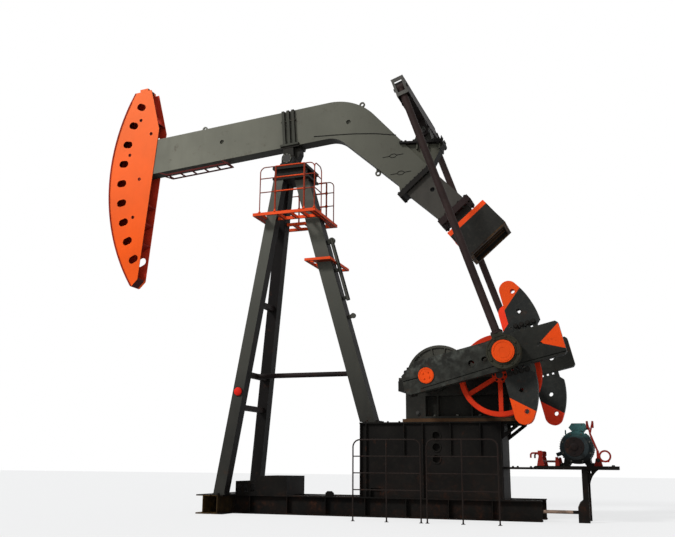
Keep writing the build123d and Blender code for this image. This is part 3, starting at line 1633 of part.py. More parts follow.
export_step(motor.part, "parts/motor.step")

# Motor pulley on its shaft
with BuildPart() as motor_pulley:
    shaft_start = motor_front - motor_bore_depth + run_gap
    with BuildSketch(motor_plane.offset(shaft_start)):
        Circle(motor_shaft_radius)
    extrude(amount=sheave_inner_face - shaft_start)
    with BuildSketch(motor_plane.offset(sheave_inner_face)):
        Circle(pulley_radius)
    extrude(amount=sheave_width)
motor_pulley.part.label = "motor_pulley"
export_step(motor_pulley.part, "parts/motor_pulley.step")

# Slide screws on the motor rails with their hooked handles and the stops at the motor feet
screw_top = rail_top + screw_height
screw_grip = screw_top - screw_head / 2
stop_x = motor_x - 1.05 * motor_radius - 35
with BuildPart() as slide_screws:
    for side, sign in sides:
        across = sign * rail_half_spacing
        screw_plane = Plane(origin=(0, across, 0), x_dir=(1, 0, 0), z_dir=(0, -1, 0))
        with BuildSketch(screw_plane):
            with BuildLine():
                Polyline(
                    (screw_x - screw_base / 2, rail_top),
                    (screw_x + screw_base / 2, rail_top),
                    (screw_x + screw_head / 3, screw_top - screw_head),
                    (screw_x + screw_head / 2, screw_top - screw_head),
                    (screw_x + screw_head / 2, screw_top - 15),
                    (screw_x + screw_head / 4, screw_top),
                    (screw_x - screw_head / 2, screw_top),
                    (screw_x - screw_head / 2, screw_top - screw_head),
                    (screw_x - screw_head / 3, screw_top - screw_head),
                    close=True,
                )
            make_face()
            with BuildLine():
                Polyline(
                    (stop_x - 35, rail_top),
                    (stop_x + 35, rail_top),
                    (stop_x + 35, rail_top + 60),
                    (stop_x + 15, rail_top + 145),
                    (stop_x - 25, rail_top + 145),
                    close=True,
                )
            make_face()
        extrude(amount=26, both=True)
        with BuildLine(screw_plane) as handle_path:
            FilletPolyline(
                (screw_x, screw_grip),
                (screw_x - screw_handle, screw_grip),
                (screw_x - screw_handle, screw_grip - screw_head),
                radius=35,
            )
        with BuildSketch(Plane(origin=handle_path.line @ 0, z_dir=(-1, 0, 0))):
            Circle(screw_rod)
        sweep(path=handle_path.line)
        with BuildSketch(Plane.YZ.offset(screw_x)):
            with Locations((across, rail_top + 75)):
                Circle(screw_rod)
        extrude(amount=stop_x - screw_x)
slide_screws.part.label = "slide_screws"
export_step(slide_screws.part, "parts/slide_screws.step")


def bar(start, end, width):
    """Flat bar between two points of the sketch."""
    run = (end[0] - start[0], end[1] - start[1])
    middle = ((start[0] + end[0]) / 2, (start[1] + end[1]) / 2, 0)
    with Locations(Location(middle, (0, 0, degrees(atan2(run[1], run[0]))))):
        Rectangle(hypot(*run) + 0.6 * width, width)


# Brake lever: a bent bar that forks at the top, with a ring handle over the end of the rails
lever_plane = side_plane(lever_x, lever_height)
lever_tip = lever_length * cos(radians(lever_turn))
lever_rise = lever_length * sin(radians(lever_turn))
with BuildPart() as brake_lever:
    with BuildSketch(lever_plane.offset(rail_half_spacing - 10)):
        Circle(45)
        bar((0, 0), (0, lever_knee), 1.6 * lever_width)
        bar((0, lever_knee), lever_bend, 1.2 * lever_width)
        for shift in (-lever_fork_spread, lever_fork_spread):
            bar(lever_bend, (lever_tip + shift, lever_rise), lever_width)
        with Locations((ring_offset[0], 0)):
            Rectangle(1.3 * ring_radius, ring_radius * 0.6)
        bar((0, 0), (ring_offset[0], 0), 50)
        with Locations(ring_offset):
            Circle(ring_radius)
        with Locations(ring_offset):
            Circle(ring_radius - ring_width, mode=Mode.SUBTRACT)
        Circle(lever_pin_radius + fit_gap, mode=Mode.SUBTRACT)
    extrude(amount=20)
brake_lever.part.label = "brake_lever"
export_step(brake_lever.part, "parts/brake_lever.step")

# Fork that carries the lever
with BuildPart() as lever_fork:
    with BuildSketch(lever_plane.offset(rail_half_spacing - 40)):
        Circle(45)
        with BuildLine():
            Polyline(
                (-45, 0),
                (-70, rail_top - lever_height),
                (70, rail_top - lever_height),
                (45, 0),
                close=True,
            )
        make_face()
    extrude(amount=24)
    with BuildSketch(lever_plane.offset(rail_half_spacing - 40)):
        Circle(lever_pin_radius)
    extrude(amount=70)
lever_fork.part.label = "lever_fork"
export_step(lever_fork.part, "parts/lever_fork.step")

# Guard panels that stand in front of the cranks
guard_top = guard_levels[-1]
guard_line = Plane(origin=(0, guard_y, 0), x_dir=(1, 0, 0), z_dir=(0, -1, 0))
with BuildPart() as guard_panels:
    for number in range(guard_count):
        left = guard_left + number * guard_pitch
        with BuildLine(guard_line) as guard_path:
            FilletPolyline(
                (left, 0),
                (left, guard_top),
                (left + guard_panel, guard_top),
                (left + guard_panel, 0),
                radius=guard_corner,
            )
        with BuildSketch(Plane(origin=guard_path.line @ 0, z_dir=(0, 0, 1))):
            Circle(guard_radius)
        sweep(path=guard_path.line)
        with BuildSketch(Plane.YZ.offset(left)):
            with Locations(*[(guard_y, level) for level in guard_levels[:-1]]):
                Circle(guard_radius * 0.8)
        extrude(amount=guard_panel)
        with BuildSketch(Plane.XY):
            with Locations((left + guard_panel / 2, guard_y)):
                Circle(guard_radius)
        extrude(amount=guard_top)
guard_panels.part.label = "guard_panels"
export_step(guard_panels.part, "parts/guard_panels.step")
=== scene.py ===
import json
from math import cos, pi, radians, sin

import bpy
import bmesh
import numpy as np
from mathutils import Matrix, Vector


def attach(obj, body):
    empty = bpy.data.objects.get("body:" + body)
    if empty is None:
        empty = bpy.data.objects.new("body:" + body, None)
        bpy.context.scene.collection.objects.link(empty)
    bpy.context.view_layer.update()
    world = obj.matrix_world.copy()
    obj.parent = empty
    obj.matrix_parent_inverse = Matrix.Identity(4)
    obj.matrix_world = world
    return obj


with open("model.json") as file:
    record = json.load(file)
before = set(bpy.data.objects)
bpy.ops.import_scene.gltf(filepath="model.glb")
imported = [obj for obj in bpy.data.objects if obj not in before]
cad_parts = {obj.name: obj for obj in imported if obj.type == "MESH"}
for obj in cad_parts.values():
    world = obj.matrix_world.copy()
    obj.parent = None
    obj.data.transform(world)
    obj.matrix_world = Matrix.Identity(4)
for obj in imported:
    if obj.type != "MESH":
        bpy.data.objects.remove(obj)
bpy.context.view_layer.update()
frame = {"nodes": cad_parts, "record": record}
nodes = frame["nodes"]


class Place:
    """Upright frame turned about the Y axis: along and up lie in the side view, across is Y."""

    def __init__(self, x, z, turn=0.0):
        self.x = x
        self.z = z
        self.along = np.array([cos(radians(turn)), 0.0, sin(radians(turn))])
        self.up = np.array([-sin(radians(turn)), 0.0, cos(radians(turn))])

    def at(self, along, up, across=0.0):
        """Points in the world: the frame's own point, plus along, up and across times their directions."""
        along, up, across = np.broadcast_arrays(*(np.asarray(v, float) for v in (along, up, across)))
        side = np.array([0.0, 1.0, 0.0])
        start = np.array([self.x, 0.0, self.z])
        return start + along[..., None] * self.along + up[..., None] * self.up + across[..., None] * side

    def point(self, along, up):
        """X and Z of one point of the frame."""
        spot = self.at(along, up)
        return float(spot[0]), float(spot[2])


# Linkage, in metres and degrees, as in the part's source
PIVOT_HEIGHT = 6.960
BEAM_TILT = 4.1
ARM_BEND = 53.5
SEAT_TILT = 8.5
CRANK_ANGLE = 13.3
CRANK_RADIUS = 1.413
PITMAN_TURN = 108.946
ROD_LENGTH = 4.7856
GROUND = Place(0.0, 0.0)
BEAM = Place(0.0, PIVOT_HEIGHT, BEAM_TILT)
ARM = Place(*BEAM.point(2.581, -0.896), BEAM_TILT - ARM_BEND)
TAIL = BEAM.point(2.820, 0.090)
SEAT = Place(*TAIL, BEAM_TILT - SEAT_TILT)
CASE = Place(2.985, 2.400)
CRANK = Place(2.985, 2.400, CRANK_ANGLE)
PIN = CRANK.point(CRANK_RADIUS, 0.0)
ROD = Place(*TAIL, PITMAN_TURN)
MOTOR = Place(5.355, 1.208)
INPUT = Place(4.200, 2.400)
NEAR = np.array([0.0, -1.0, 0.0])
FAR = np.array([0.0, 1.0, 0.0])
SKY = np.array([0.0, 0.0, 1.0])

# How far along the crank the upper and the lower weight of each side begin
WEIGHT_SEATS = {"near": (1.580, 1.270), "far": (1.270, 1.580)}


def linear(hex_colour):
    """Screen colour written in hex as linear RGBA: each channel by the usual screen curve."""
    values = [int(hex_colour[i:i + 2], 16) / 255 for i in (0, 2, 4)]
    return tuple(v / 12.92 if v <= 0.04045 else ((v + 0.055) / 1.055) ** 2.4 for v in values) + (1.0,)


def shade(colour, share):
    """The colour with its channels multiplied by one number."""
    return tuple(min(1.0, c * share) for c in colour[:3]) + (1.0,)


class Field:
    """A value that varies over a surface; sums and products of it add Math nodes."""

    def __init__(self, net, socket):
        self.net = net
        self.socket = socket

    def __add__(self, other):
        return self.net.math("ADD", self, other)

    def __radd__(self, other):
        return self.net.math("ADD", other, self)

    def __sub__(self, other):
        return self.net.math("SUBTRACT", self, other)

    def __rsub__(self, other):
        return self.net.math("SUBTRACT", other, self)

    def __mul__(self, other):
        return self.net.math("MULTIPLY", self, other)

    def __rmul__(self, other):
        return self.net.math("MULTIPLY", other, self)

    def size(self):
        """The value without its sign."""
        return self.net.math("ABSOLUTE", self, 0.0)

    def greater(self, other):
        """The greater of two values."""
        return self.net.math("MAXIMUM", self, other)

    def above(self, level, soft=0.01):
        """1 where the value is over the level, 0 under it, with an edge of the given width."""
        return self.bend(level - soft, level + soft)

    def bend(self, low, high):
        """0 where the value is low or less, 1 where it is high or more, and a straight run between."""
        return self.net.add("ShaderNodeMapRange", {"clamp": True},
                            {"Value": self, "From Min": low, "From Max": high})["Result"]


class Net:
    """A tree of shader nodes, built up one node at a time."""

    def __init__(self, tree):
        self.tree = tree

    def add(self, kind, settings, inputs):
        """Node of one kind, its settings put first, then its sockets; gives its outputs by name."""
        node = self.tree.nodes.new(kind)
        for key, value in settings.items():
            setattr(node, key, value)
        for key, value in inputs.items():
            self.put(node.inputs[key], value)
        return {s.name: Field(self, s) for s in node.outputs if s.enabled}

    def put(self, socket, value):
        """Link or constant into a socket."""
        if isinstance(value, Field):
            self.tree.links.new(value.socket, socket)
        else:
            socket.default_value = value

    def math(self, operation, a, b):
        """One Math node on two values."""
        return self.add("ShaderNodeMath", {"operation": operation}, {0: a, 1: b})["Value"]


class Paint(Net):
    """The nodes of one material, with its Principled shader and the place on the object."""

    def __init__(self, name):
        self.material = bpy.data.materials.new(name)
        self.material.use_nodes = True
        super().__init__(self.material.node_tree)
        self.shader = self.tree.nodes["Principled BSDF"]
        self.place = self.add("ShaderNodeTexCoord", {}, {})["Object"]

    def mix(self, share, a, b):
        """Colour a turned to colour b by the share."""
        return self.add("ShaderNodeMix", {"data_type": "RGBA"}, {0: share, 6: a, 7: b})["Result"]

    def dot(self, vector, direction):
        """Dot product of a vector that varies and a fixed direction."""
        return self.add("ShaderNodeVectorMath", {"operation": "DOT_PRODUCT"},
                        {0: vector, 1: tuple(direction)})["Value"]

    def along(self, direction, offset=0.0):
        """Distance along a direction: dot product of the place and the direction, less the offset."""
        distance = self.dot(self.place, direction)
        return distance - offset if offset else distance

    def facing(self, direction):
        """How far the surface faces a direction of the object, from -1 to 1."""
        return self.dot(self.add("ShaderNodeTexCoord", {}, {})["Normal"], direction)

    def within(self, place):
        """Distances along and up in an upright frame."""
        start = np.array([place.x, 0.0, place.z])
        along_offset, up_offset = float(start @ place.along), float(start @ place.up)
        return self.along(place.along, along_offset), self.along(place.up, up_offset)

    def noise(self, scale, detail=4.0, stretch=(1, 1, 1), rough=0.55, shift=(0, 0, 0)):
        """Cloudy pattern of the given scale per metre, stretched along the axes."""
        at = self.add("ShaderNodeMapping", {}, {"Vector": self.place, "Scale": stretch, "Location": shift})
        return self.add("ShaderNodeTexNoise", {}, {"Vector": at["Vector"], "Scale": scale, "Detail": detail,
                                                   "Roughness": rough})["Fac"]

    def finish(self, colour, roughness, bump, depth=0.002, gloss=0.10):
        """The material, with its colour, roughness, gloss and a bump of the given depth in metres."""
        self.put(self.shader.inputs["Base Color"], colour)
        self.put(self.shader.inputs["Roughness"], roughness)
        self.put(self.shader.inputs["Specular IOR Level"], gloss)
        normal = self.add("ShaderNodeBump", {}, {"Height": bump, "Strength": 0.55, "Distance": depth})
        self.put(self.shader.inputs["Normal"], normal["Normal"])
        return self.material


# Edges of the paints, in metres along and up in the frame of the painted piece
TIP_UP, TIP_SLOPE = 0.717, 0.877
TRIANGLE_ALONG, TRIANGLE_UP, UPPER_SLOPE, LOWER_SLOPE = 1.99, 0.03, 0.64, 0.51
CRANK_OUTER_FACE = 0.995
BAND_START, BAND_END, OPEN_END = 1.289, 1.385, 1.895
JOINT_HALF = 0.055
SEAT_PLATE_LOW = -0.262
EQUALIZER_END = 1.328
HEAD_NEAR_SIDE, HEAD_FAR_SIDE = -0.158, 0.10
PLATFORM_MIDDLE, PLATFORM_BAY, MIDDLE_RAIL = 0.2, 0.29, 5.80
SKID_TOP, SKID_FRONT, SKID_BACK, PIPE_END = 0.335, -1.0, 4.772, 5.25
CASE_BASE_TOP = 1.706


def weathered(net, colour, tone=0.16, streaks=0.3, rust=0.0, rust_low=0.0, cast=0.0, dust=0.05, chips=0.15):
    """Paint with cloudy tone, rain streaks, thin dust, chips, rust spots and the grain of its metal."""
    cloud = net.noise(1.1, 5.0, shift=(3.1, 1.7, 0.4))
    fine = net.noise(14.0, 6.0)
    streak = net.noise(6.0, 4.0, stretch=(1, 1, 0.09))
    body = net.mix(cloud.bend(0.34, 0.66), shade(colour, 1 - 2.0 * tone), shade(colour, 1 + 1.6 * tone))
    body = net.mix(streak.bend(0.52, 0.72) * streaks, body, shade(colour, 0.45))
    body = net.mix(fine.bend(0.50, 0.74) * dust, body, linear("8a8172"))
    if chips:
        flake = net.noise(34.0, 5.0, rough=0.7, shift=(1.3, 4.2, 2.2))
        body = net.mix(flake.bend(0.66, 0.70) * chips, body, shade(colour, 0.3))
    if rust or rust_low:
        spots = net.noise(5.0, 9.0, rough=0.68, shift=(0.7, 2.3, 5.1))
        share = spots.bend(0.60 - 0.12 * rust, 0.70) * min(1.0, 0.35 + rust)
        if rust_low:
            low = 1 - net.along((0, 0, 1)).bend(0.15, 1.1)
            share = share + low * spots.bend(0.44, 0.66) * rust_low
        brown = net.mix(fine.bend(0.3, 0.7), linear("1c0f0a"), linear("452615"))
        body = net.mix(share.bend(0, 1), body, brown)
    grain = net.noise(150.0, 3.0)
    bump = grain * (0.25 + cast) + fine * (0.35 + cast) + cloud * 0.3
    roughness = 0.48 + fine * 0.22 + streak * 0.08
    return body, roughness, bump


def plain_paint(name, hex_colour, gloss=0.10, **wear):
    """Weathered paint of one colour."""
    net = Paint(name)
    body, roughness, bump = weathered(net, linear(hex_colour), **wear)
    return net.finish(body, roughness, bump, gloss=gloss)


def weight_paint(label, tip_hex):
    """Dark cast weights of one side, whose tips past a slanted line are orange."""
    net = Paint(f"{label}_weight_cast")
    high_seat, low_seat = WEIGHT_SEATS[label]
    body, roughness, bump = weathered(net, linear("20211f"), tone=0.22, streaks=0.25, rust=0.1, cast=0.9)
    tip, _, _ = weathered(net, linear(tip_hex), tone=0.08, streaks=0.12, rust=0.03, dust=0.02)
    along, up = net.within(CRANK)
    seat = low_seat + up.above(0.0, 0.05) * (high_seat - low_seat)
    mask = (up.size() - TIP_SLOPE * (along - seat)).above(TIP_UP, 0.004)
    return net.finish(net.mix(mask, body, tip), roughness, bump, depth=0.004)


def crank_paint():
    """Dark cast crank with an orange triangle at its free end and pale mottling towards its upper edge."""
    net = Paint("crank_cast")
    body, roughness, bump = weathered(net, linear("20201c"), tone=0.25, streaks=0.3, rust=0.14, cast=0.9,
                                      dust=0.03)
    tip, _, _ = weathered(net, linear("d8430a"), tone=0.06, streaks=0.08, rust=0.03, dust=0.0)
    along, up = net.within(CRANK)
    pale = net.noise(9.0, 6.0, shift=(4.0, 2.0, 7.0)).bend(0.45, 0.72)
    edge = (up - 0.05 * along).bend(0.05, 0.20)
    body = net.mix(pale * (0.18 + edge * 0.35) * (1 - along.bend(0.2, 2.0)), body, linear("6b6e66"))
    from_corner = along - TRIANGLE_ALONG
    under = (UPPER_SLOPE * from_corner + TRIANGLE_UP - up).above(0, 0.003)
    over = (up - TRIANGLE_UP + LOWER_SLOPE * from_corner).above(0, 0.003)
    outer_face = net.along((0, 1, 0)).size().above(CRANK_OUTER_FACE, 0.003)
    return net.finish(net.mix(under * over * outer_face, body, tip), roughness, bump, depth=0.004)


def tail_paint():
    """Dark tail weight with an orange band at its upper end and brown metal in its open end."""
    net = Paint("tail_weight_paint")
    body, roughness, bump = weathered(net, linear("1d1c19"), tone=0.25, streaks=0.35, rust=0.1, cast=0.6,
                                      dust=0.04)
    band, _, _ = weathered(net, linear("dc4412"), tone=0.1, streaks=0.15, dust=0.02)
    along, _ = net.within(ARM)
    mask = along.above(BAND_START, 0.002) * (1 - along.above(BAND_END, 0.003))
    rim = along.above(OPEN_END, 0.003)
    body = net.mix(mask, body, band)
    brown = net.mix(net.noise(7.0, 5.0).bend(0.4, 0.62), linear("150d08"), linear("4a3216"))
    return net.finish(net.mix(rim, body, brown), roughness, bump, depth=0.003)


def sideways(net, soft=0.15):
    """1 on the faces that look straight to the near or the far side."""
    return net.facing((0, 1, 0)).size().above(0.80, soft)


def beam_paint():
    """Olive grey paint of the beam, lighter towards the horsehead; painted shade makes its edge faces and the
    flanges of its joint nearly black.
    """
    net = Paint("beam_paint")
    body, roughness, bump = weathered(net, linear("6f6e62"), tone=0.06, streaks=0.12, rust=0.02, dust=0.03)
    along, _ = net.within(BEAM)
    body = net.mix(along.bend(-2.0, 2.9) * 0.80, body, linear("3d3c34"))
    # Painted shade: nearly black on the flanges of the joint and on every face that does not look to a side
    far_along, _ = net.within(ARM)
    flange = 1 - far_along.size().above(JOINT_HALF, 0.003)
    dark = (1 - sideways(net)) * 0.85 + flange
    return net.finish(net.mix(dark.bend(0, 1), body, linear("12100d")), roughness, bump)


def bracket_paint(name, side_hex, shaded_face_hex, flange=False):
    """Paint that is lighter on the side faces, with painted shade that makes the edges and the beam's joint
    nearly black.
    """
    net = Paint(name)
    body, roughness, bump = weathered(net, linear(shaded_face_hex), tone=0.2, streaks=0.3, rust=0.08, dust=0.02)
    pale, _, _ = weathered(net, linear(side_hex), tone=0.12, streaks=0.3, rust=0.05, dust=0.03)
    # Painted shade: only the side faces get the paler colour, the other faces stay nearly black
    share = sideways(net)
    if flange:
        share = share * net.within(ARM)[0].size().above(JOINT_HALF, 0.003)
    return net.finish(net.mix(share, body, pale), roughness, bump)


def seat_paint():
    """Olive on the side faces of the bearing's bracket; painted shade makes its edges nearly black, and its
    seat plate is nearly black.
    """
    net = Paint("seat_paint")
    body, roughness, bump = weathered(net, linear("0d0b0a"), tone=0.2, streaks=0.3, rust=0.08, dust=0.02)
    pale, _, _ = weathered(net, linear("47463c"), tone=0.12, streaks=0.3, rust=0.05, dust=0.03)
    _, up = net.within(SEAT)
    under_plate = 1 - up.above(SEAT_PLATE_LOW, 0.003)
    # Painted shade: only the side faces below the seat plate get the olive colour
    return net.finish(net.mix(sideways(net) * under_plate, body, pale), roughness, bump)


def equalizer_paint():
    """Nearly black box beam, with a painted highlight that makes its upper face and the frames at its ends
    paler.
    """
    net = Paint("equalizer_paint")
    body, roughness, bump = weathered(net, linear("120d0c"), tone=0.25, streaks=0.3, rust=0.15, dust=0.03)
    pale, _, _ = weathered(net, linear("5a5853"), tone=0.2, streaks=0.3, rust=0.1)
    # Painted highlight on the upper face and on the end frames
    upper = net.facing(ROD.along).above(0.8, 0.1)
    ends = net.along((0, 1, 0)).size().above(EQUALIZER_END, 0.004)
    return net.finish(net.mix((upper + ends * 0.7).bend(0, 1), body, pale), roughness, bump)


def leg_paint():
    """Grey on the faces that look outwards, paler higher up, and painted shade that makes all other faces
    nearly black.
    """
    net = Paint("leg_paint")
    pale, roughness, bump = weathered(net, linear("272622"), tone=0.12, streaks=0.3, rust=0.04, dust=0.02)
    body, _, _ = weathered(net, linear("0e0b0a"), tone=0.2, streaks=0.3, rust=0.1, dust=0.01)
    height = net.along((0, 0, 1))
    pale = net.mix(height.bend(1.6, 7.2) * 0.85, pale, linear("5e5e55"))
    # Painted shade: faces that do not look outwards get the nearly black colour
    side = net.along((0, 1, 0)).above(0, 0.01) * 2 - 1
    lit_outer_faces = (side * net.facing((0, 1, 0))).above(0.80, 0.12)
    return net.finish(net.mix(lit_outer_faces, body, pale), roughness, bump)


def head_paint():
    """Orange of the horsehead, with a painted highlight that makes it a little paler high up, and painted
    shade that makes it dark red inside and red on the inner face of its far plate.
    """
    net = Paint("head_paint")
    body, roughness, bump = weathered(net, linear("ee560c"), tone=0.05, streaks=0.08, dust=0.02, chips=0.05)
    # Painted highlight towards the top
    height = net.along((0, 0, 1))
    body = net.mix(height.bend(5.4, 8.9) * 0.50, body, linear("fb8450"))
    # Painted shade inside the head and on the inner face of its far plate
    across = net.along((0, 1, 0))
    far = across.above(HEAD_FAR_SIDE, 0.01)
    inside = across.above(HEAD_NEAR_SIDE, 0.002) * (1 - far)
    body = net.mix(inside, body, linear("3a0c08"))
    shaded_far_face = far * net.facing((0, -1, 0)).above(0.5, 0.1)
    return net.finish(net.mix(shaded_far_face, body, linear("c43621")), roughness, bump)


def platform_paint():
    """Orange-red paint, with painted shade that darkens the undersides, and brownish on the outer bays of the
    guardrail.
    """
    net = Paint("platform_paint")
    body, roughness, bump = weathered(net, linear("dc4a1c"), tone=0.12, streaks=0.2, rust=0.1, dust=0.02)
    # Painted shade on the faces that look down
    low = net.facing((0, 0, -1)).above(0.4, 0.2)
    body = net.mix(low * 0.85, body, linear("34110a"))
    along, height = net.along((1, 0, 0)), net.along((0, 0, 1))
    posts = (along - PLATFORM_MIDDLE).size().above(PLATFORM_BAY, 0.01)
    outer = posts * height.above(MIDDLE_RAIL, 0.01)
    return net.finish(net.mix(outer * 0.75, body, linear("5a2a20")), roughness, bump)


def skid_paint():
    """Nearly black paint with rust low down; the open front end and the tie pipe at the back are paler."""
    net = Paint("base_paint")
    body, roughness, bump = weathered(net, linear("100e0c"), tone=0.25, streaks=0.4, rust=0.08, rust_low=0.22,
                                      dust=0.012)
    along, height = net.along((1, 0, 0)), net.along((0, 0, 1))
    low = 1 - height.above(SKID_TOP, 0.004)
    front = (1 - along.above(SKID_FRONT, 0.03)) * low
    earth = net.noise(6.0, 5.0).bend(0.42, 0.62)
    body = net.mix(front * (0.3 + earth * 0.5), body, linear("5a4423"))
    pipe = along.above(SKID_BACK, 0.004) * (1 - along.above(PIPE_END, 0.01)) * low
    body = net.mix(pipe * (0.35 + earth * 0.4), body, linear("a58a78"))
    return net.finish(body, roughness, bump, gloss=0.06)


def case_paint():
    """Dark paint of the reducer, brown on its base plate."""
    net = Paint("case_paint")
    body, roughness, bump = weathered(net, linear("1f1e1a"), tone=0.25, streaks=0.4, rust=0.08, cast=0.5,
                                      dust=0.03)
    base, _, _ = weathered(net, linear("3d2917"), tone=0.2, streaks=0.2, rust=0.3, dust=0.03)
    low = 1 - net.along((0, 0, 1)).above(CASE_BASE_TOP, 0.003)
    return net.finish(net.mix(low, body, base), roughness, bump)


def motor_paint():
    """Blue-green on the connection box and fins high up, dark grey below, nearly black at the feet."""
    net = Paint("motor_paint")
    body, roughness, bump = weathered(net, linear("262e30"), tone=0.18, streaks=0.3, rust=0.08)
    height = net.along((0, 0, 1))
    body = net.mix(height.bend(1.36, 1.50), body, linear("46706e"))
    body = net.mix(1 - height.bend(0.98, 1.12), body, linear("12100e"))
    return net.finish(body, roughness, bump)


FINISHES = {
    "base_black": skid_paint(),
    "dark_grey_paint": plain_paint("machine_paint", "201f1b", tone=0.25, streaks=0.4, rust=0.08, cast=0.5,
                                   dust=0.04),
    "post_grey": leg_paint(),
    "orange_red": platform_paint(),
    "red_paint": plain_paint("handle_paint", "7c1a10", tone=0.15, streaks=0.2, rust=0.12),
    "dark_red": plain_paint("step_paint", "4c130f", tone=0.2, streaks=0.2, rust=0.12),
    "guard_grey": plain_paint("guard_paint", "1d1511", tone=0.12, streaks=0.2, rust=0.2, dust=0.0),
    "motor_teal": motor_paint(),
    "beam_grey": beam_paint(),
    "shaft_steel": plain_paint("shaft_finish", "24221f", tone=0.15, streaks=0.1, rust=0.18, gloss=0.3),
    "head_orange": head_paint(),
    "head_red": plain_paint("track_paint", "8e2216", tone=0.12, streaks=0.2, rust=0.06, dust=0.02),
    "pitman_brown": plain_paint("pitman_paint", "2a1e1c", tone=0.2, streaks=0.3, rust=0.08, dust=0.03),
    "tail_grey": tail_paint(),
    "cap_orange": plain_paint("cap_paint", "d2440c", tone=0.10, streaks=0.1, rust=0.03, dust=0.0),
    "crank_grey": crank_paint(),
    "sheave_orange": plain_paint("sheave_paint", "bd2c0c", tone=0.15, streaks=0.15, rust=0.08, dust=0.02),
}
BRIGHT_BOLT = plain_paint("bolt_zinc", "4c4a43", tone=0.2, streaks=0.1, rust=0.3, gloss=0.4)
DARK_BOLT = plain_paint("bolt_black", "151310", tone=0.2, streaks=0.1, rust=0.2, dust=0.01)
BROWN_RIB = plain_paint("weight_rib_paint", "3c2918", tone=0.2, streaks=0.2, rust=0.4, dust=0.03)
OLIVE_RING = plain_paint("housing_paint", "2a291f", tone=0.2, streaks=0.2, rust=0.2, cast=0.6)
DARK_LINE = plain_paint("weld_line", "12110e", tone=0.2, streaks=0.1, cast=0.5)
RIM_RED = plain_paint("hole_rim_paint", "3c100a", tone=0.15, streaks=0.1, rust=0.1, dust=0.01)
LAMP_RED = plain_paint("fitting_red", "cf1f12", tone=0.1, streaks=0.1, rust=0.05, dust=0.0)
own_finish = {
    "crank_weights_near": weight_paint("near", "d8450c"),
    # The far tips are a brighter red than the near ones: partly their own redder paint, partly painted light
    # that lifts them out of the shade of the near weights
    "crank_weights_far": weight_paint("far", "f63c20"),
    "pin_housings": OLIVE_RING,
    "reducer_case": case_paint(),
    "reducer_cover": plain_paint("cover_paint", "403f38", tone=0.22, streaks=0.4, rust=0.06, cast=0.5,
                                 dust=0.05),
    "post_head": bracket_paint("post_head_paint", "1e1c18", "161411"),
    "saddle_pillows": bracket_paint("pillow_paint", "211f1b", "1a1815"),
    "saddle_bracket": bracket_paint("saddle_paint", "26241f", "161411"),
    "saddle_stiffeners": bracket_paint("stiffener_paint", "3f3f37", "161411"),
    "tail_extension": bracket_paint("extension_paint", "3b3833", "161310", True),
    "tail_bracket": seat_paint(),
    "tail_clamp": plain_paint("clamp_paint", "1e1312", tone=0.2, streaks=0.3, rust=0.1, dust=0.01),
    "equalizer_beam": equalizer_paint(),
    "leg_ties": plain_paint("tie_paint", "18100f", tone=0.2, streaks=0.3, rust=0.1, dust=0.01),
    "motor_pulley": plain_paint("pulley_paint", "150d0b", tone=0.2, streaks=0.2, rust=0.2, dust=0.01),
}
slot_of = {s["node"]: s["material_slot"] for s in frame["record"]["subparts"]}
for name, node in nodes.items():
    finish = own_finish.get(name) or FINISHES[slot_of[name]]
    for slot in node.material_slots:
        slot.material = finish


def shells(name, grid, body, slot, finish=None, looped=False):
    """Closed shells from arrays of rings (shell, ring, point, xyz).

    Each ring is joined to the next by four-sided faces. A flat cap closes the first and the last ring,
    or they are joined to each other when the rings go round a loop.
    """
    grid = np.asarray(grid, float)
    grid = grid.reshape((-1,) + grid.shape[-3:])
    count, rings, around = grid.shape[:3]
    number = np.arange(count * rings * around).reshape(count, rings, around)
    here = number if looped else number[:, :-1]
    there = np.roll(number, -1, 1) if looped else number[:, 1:]
    quads = np.stack([here, np.roll(here, -1, 2), np.roll(there, -1, 2), there], -1).reshape(-1, 4).tolist()
    if not looped:
        quads += number[:, 0, ::-1].tolist() + number[:, -1].tolist()
    mesh = bpy.data.meshes.new(name)
    mesh.from_pydata(grid.reshape(-1, 3).tolist(), [], quads)
    shaped = bmesh.new()
    shaped.from_mesh(mesh)
    bmesh.ops.recalc_face_normals(shaped, faces=shaped.faces)
    shaped.to_mesh(mesh)
    shaped.free()
    mesh.shade_smooth()
    mesh.set_sharp_from_angle(angle=radians(32))
    piece = bpy.data.objects.new(name, mesh)
    bpy.context.scene.collection.objects.link(piece)
    mesh.materials.append(finish or FINISHES[slot])
    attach(piece, body)
    return piece


def square_to(axis):
    """Two directions square to an axis and to each other: cross products with a world axis beside it."""
    axis = np.asarray(axis, float)
    axis = axis / np.linalg.norm(axis, axis=-1, keepdims=True)
    helper = np.where(np.abs(axis[..., 2:3]) < 0.9, SKY, np.array([1.0, 0.0, 0.0]))
    first = np.cross(helper, axis)
    first = first / np.linalg.norm(first, axis=-1, keepdims=True)
    return first, np.cross(axis, first)


def turned(profile, centre, axis, sides=48, flats=None):
    """Rings (radius, height) round an axis: centre + height * axis + radius * (cos t, sin t) square to it.

    Where flats is given, a ring whose radius is negative follows a polygon of that many flats: its size
    divided by the cosine of the angle from the middle of the nearest flat.
    """
    profile = np.asarray(profile, float)
    centre = np.atleast_2d(np.asarray(centre, float))
    axis = np.broadcast_to(np.asarray(axis, float), centre.shape)
    first, second = square_to(axis)
    turn = np.arange(sides) * 2 * pi / sides
    radius = np.abs(profile[:, :1]) * np.ones(sides)
    if flats:
        bend = np.cos((turn + pi / flats) % (2 * pi / flats) - pi / flats)
        radius = np.where(profile[:, :1] < 0, radius / bend, radius)
    ring = np.cos(turn)[:, None] * first[:, None] + np.sin(turn)[:, None] * second[:, None]
    rise = profile[None, :, 1, None, None] * axis[:, None, None]
    return centre[:, None, None] + rise + radius[None, :, :, None] * ring[:, None]


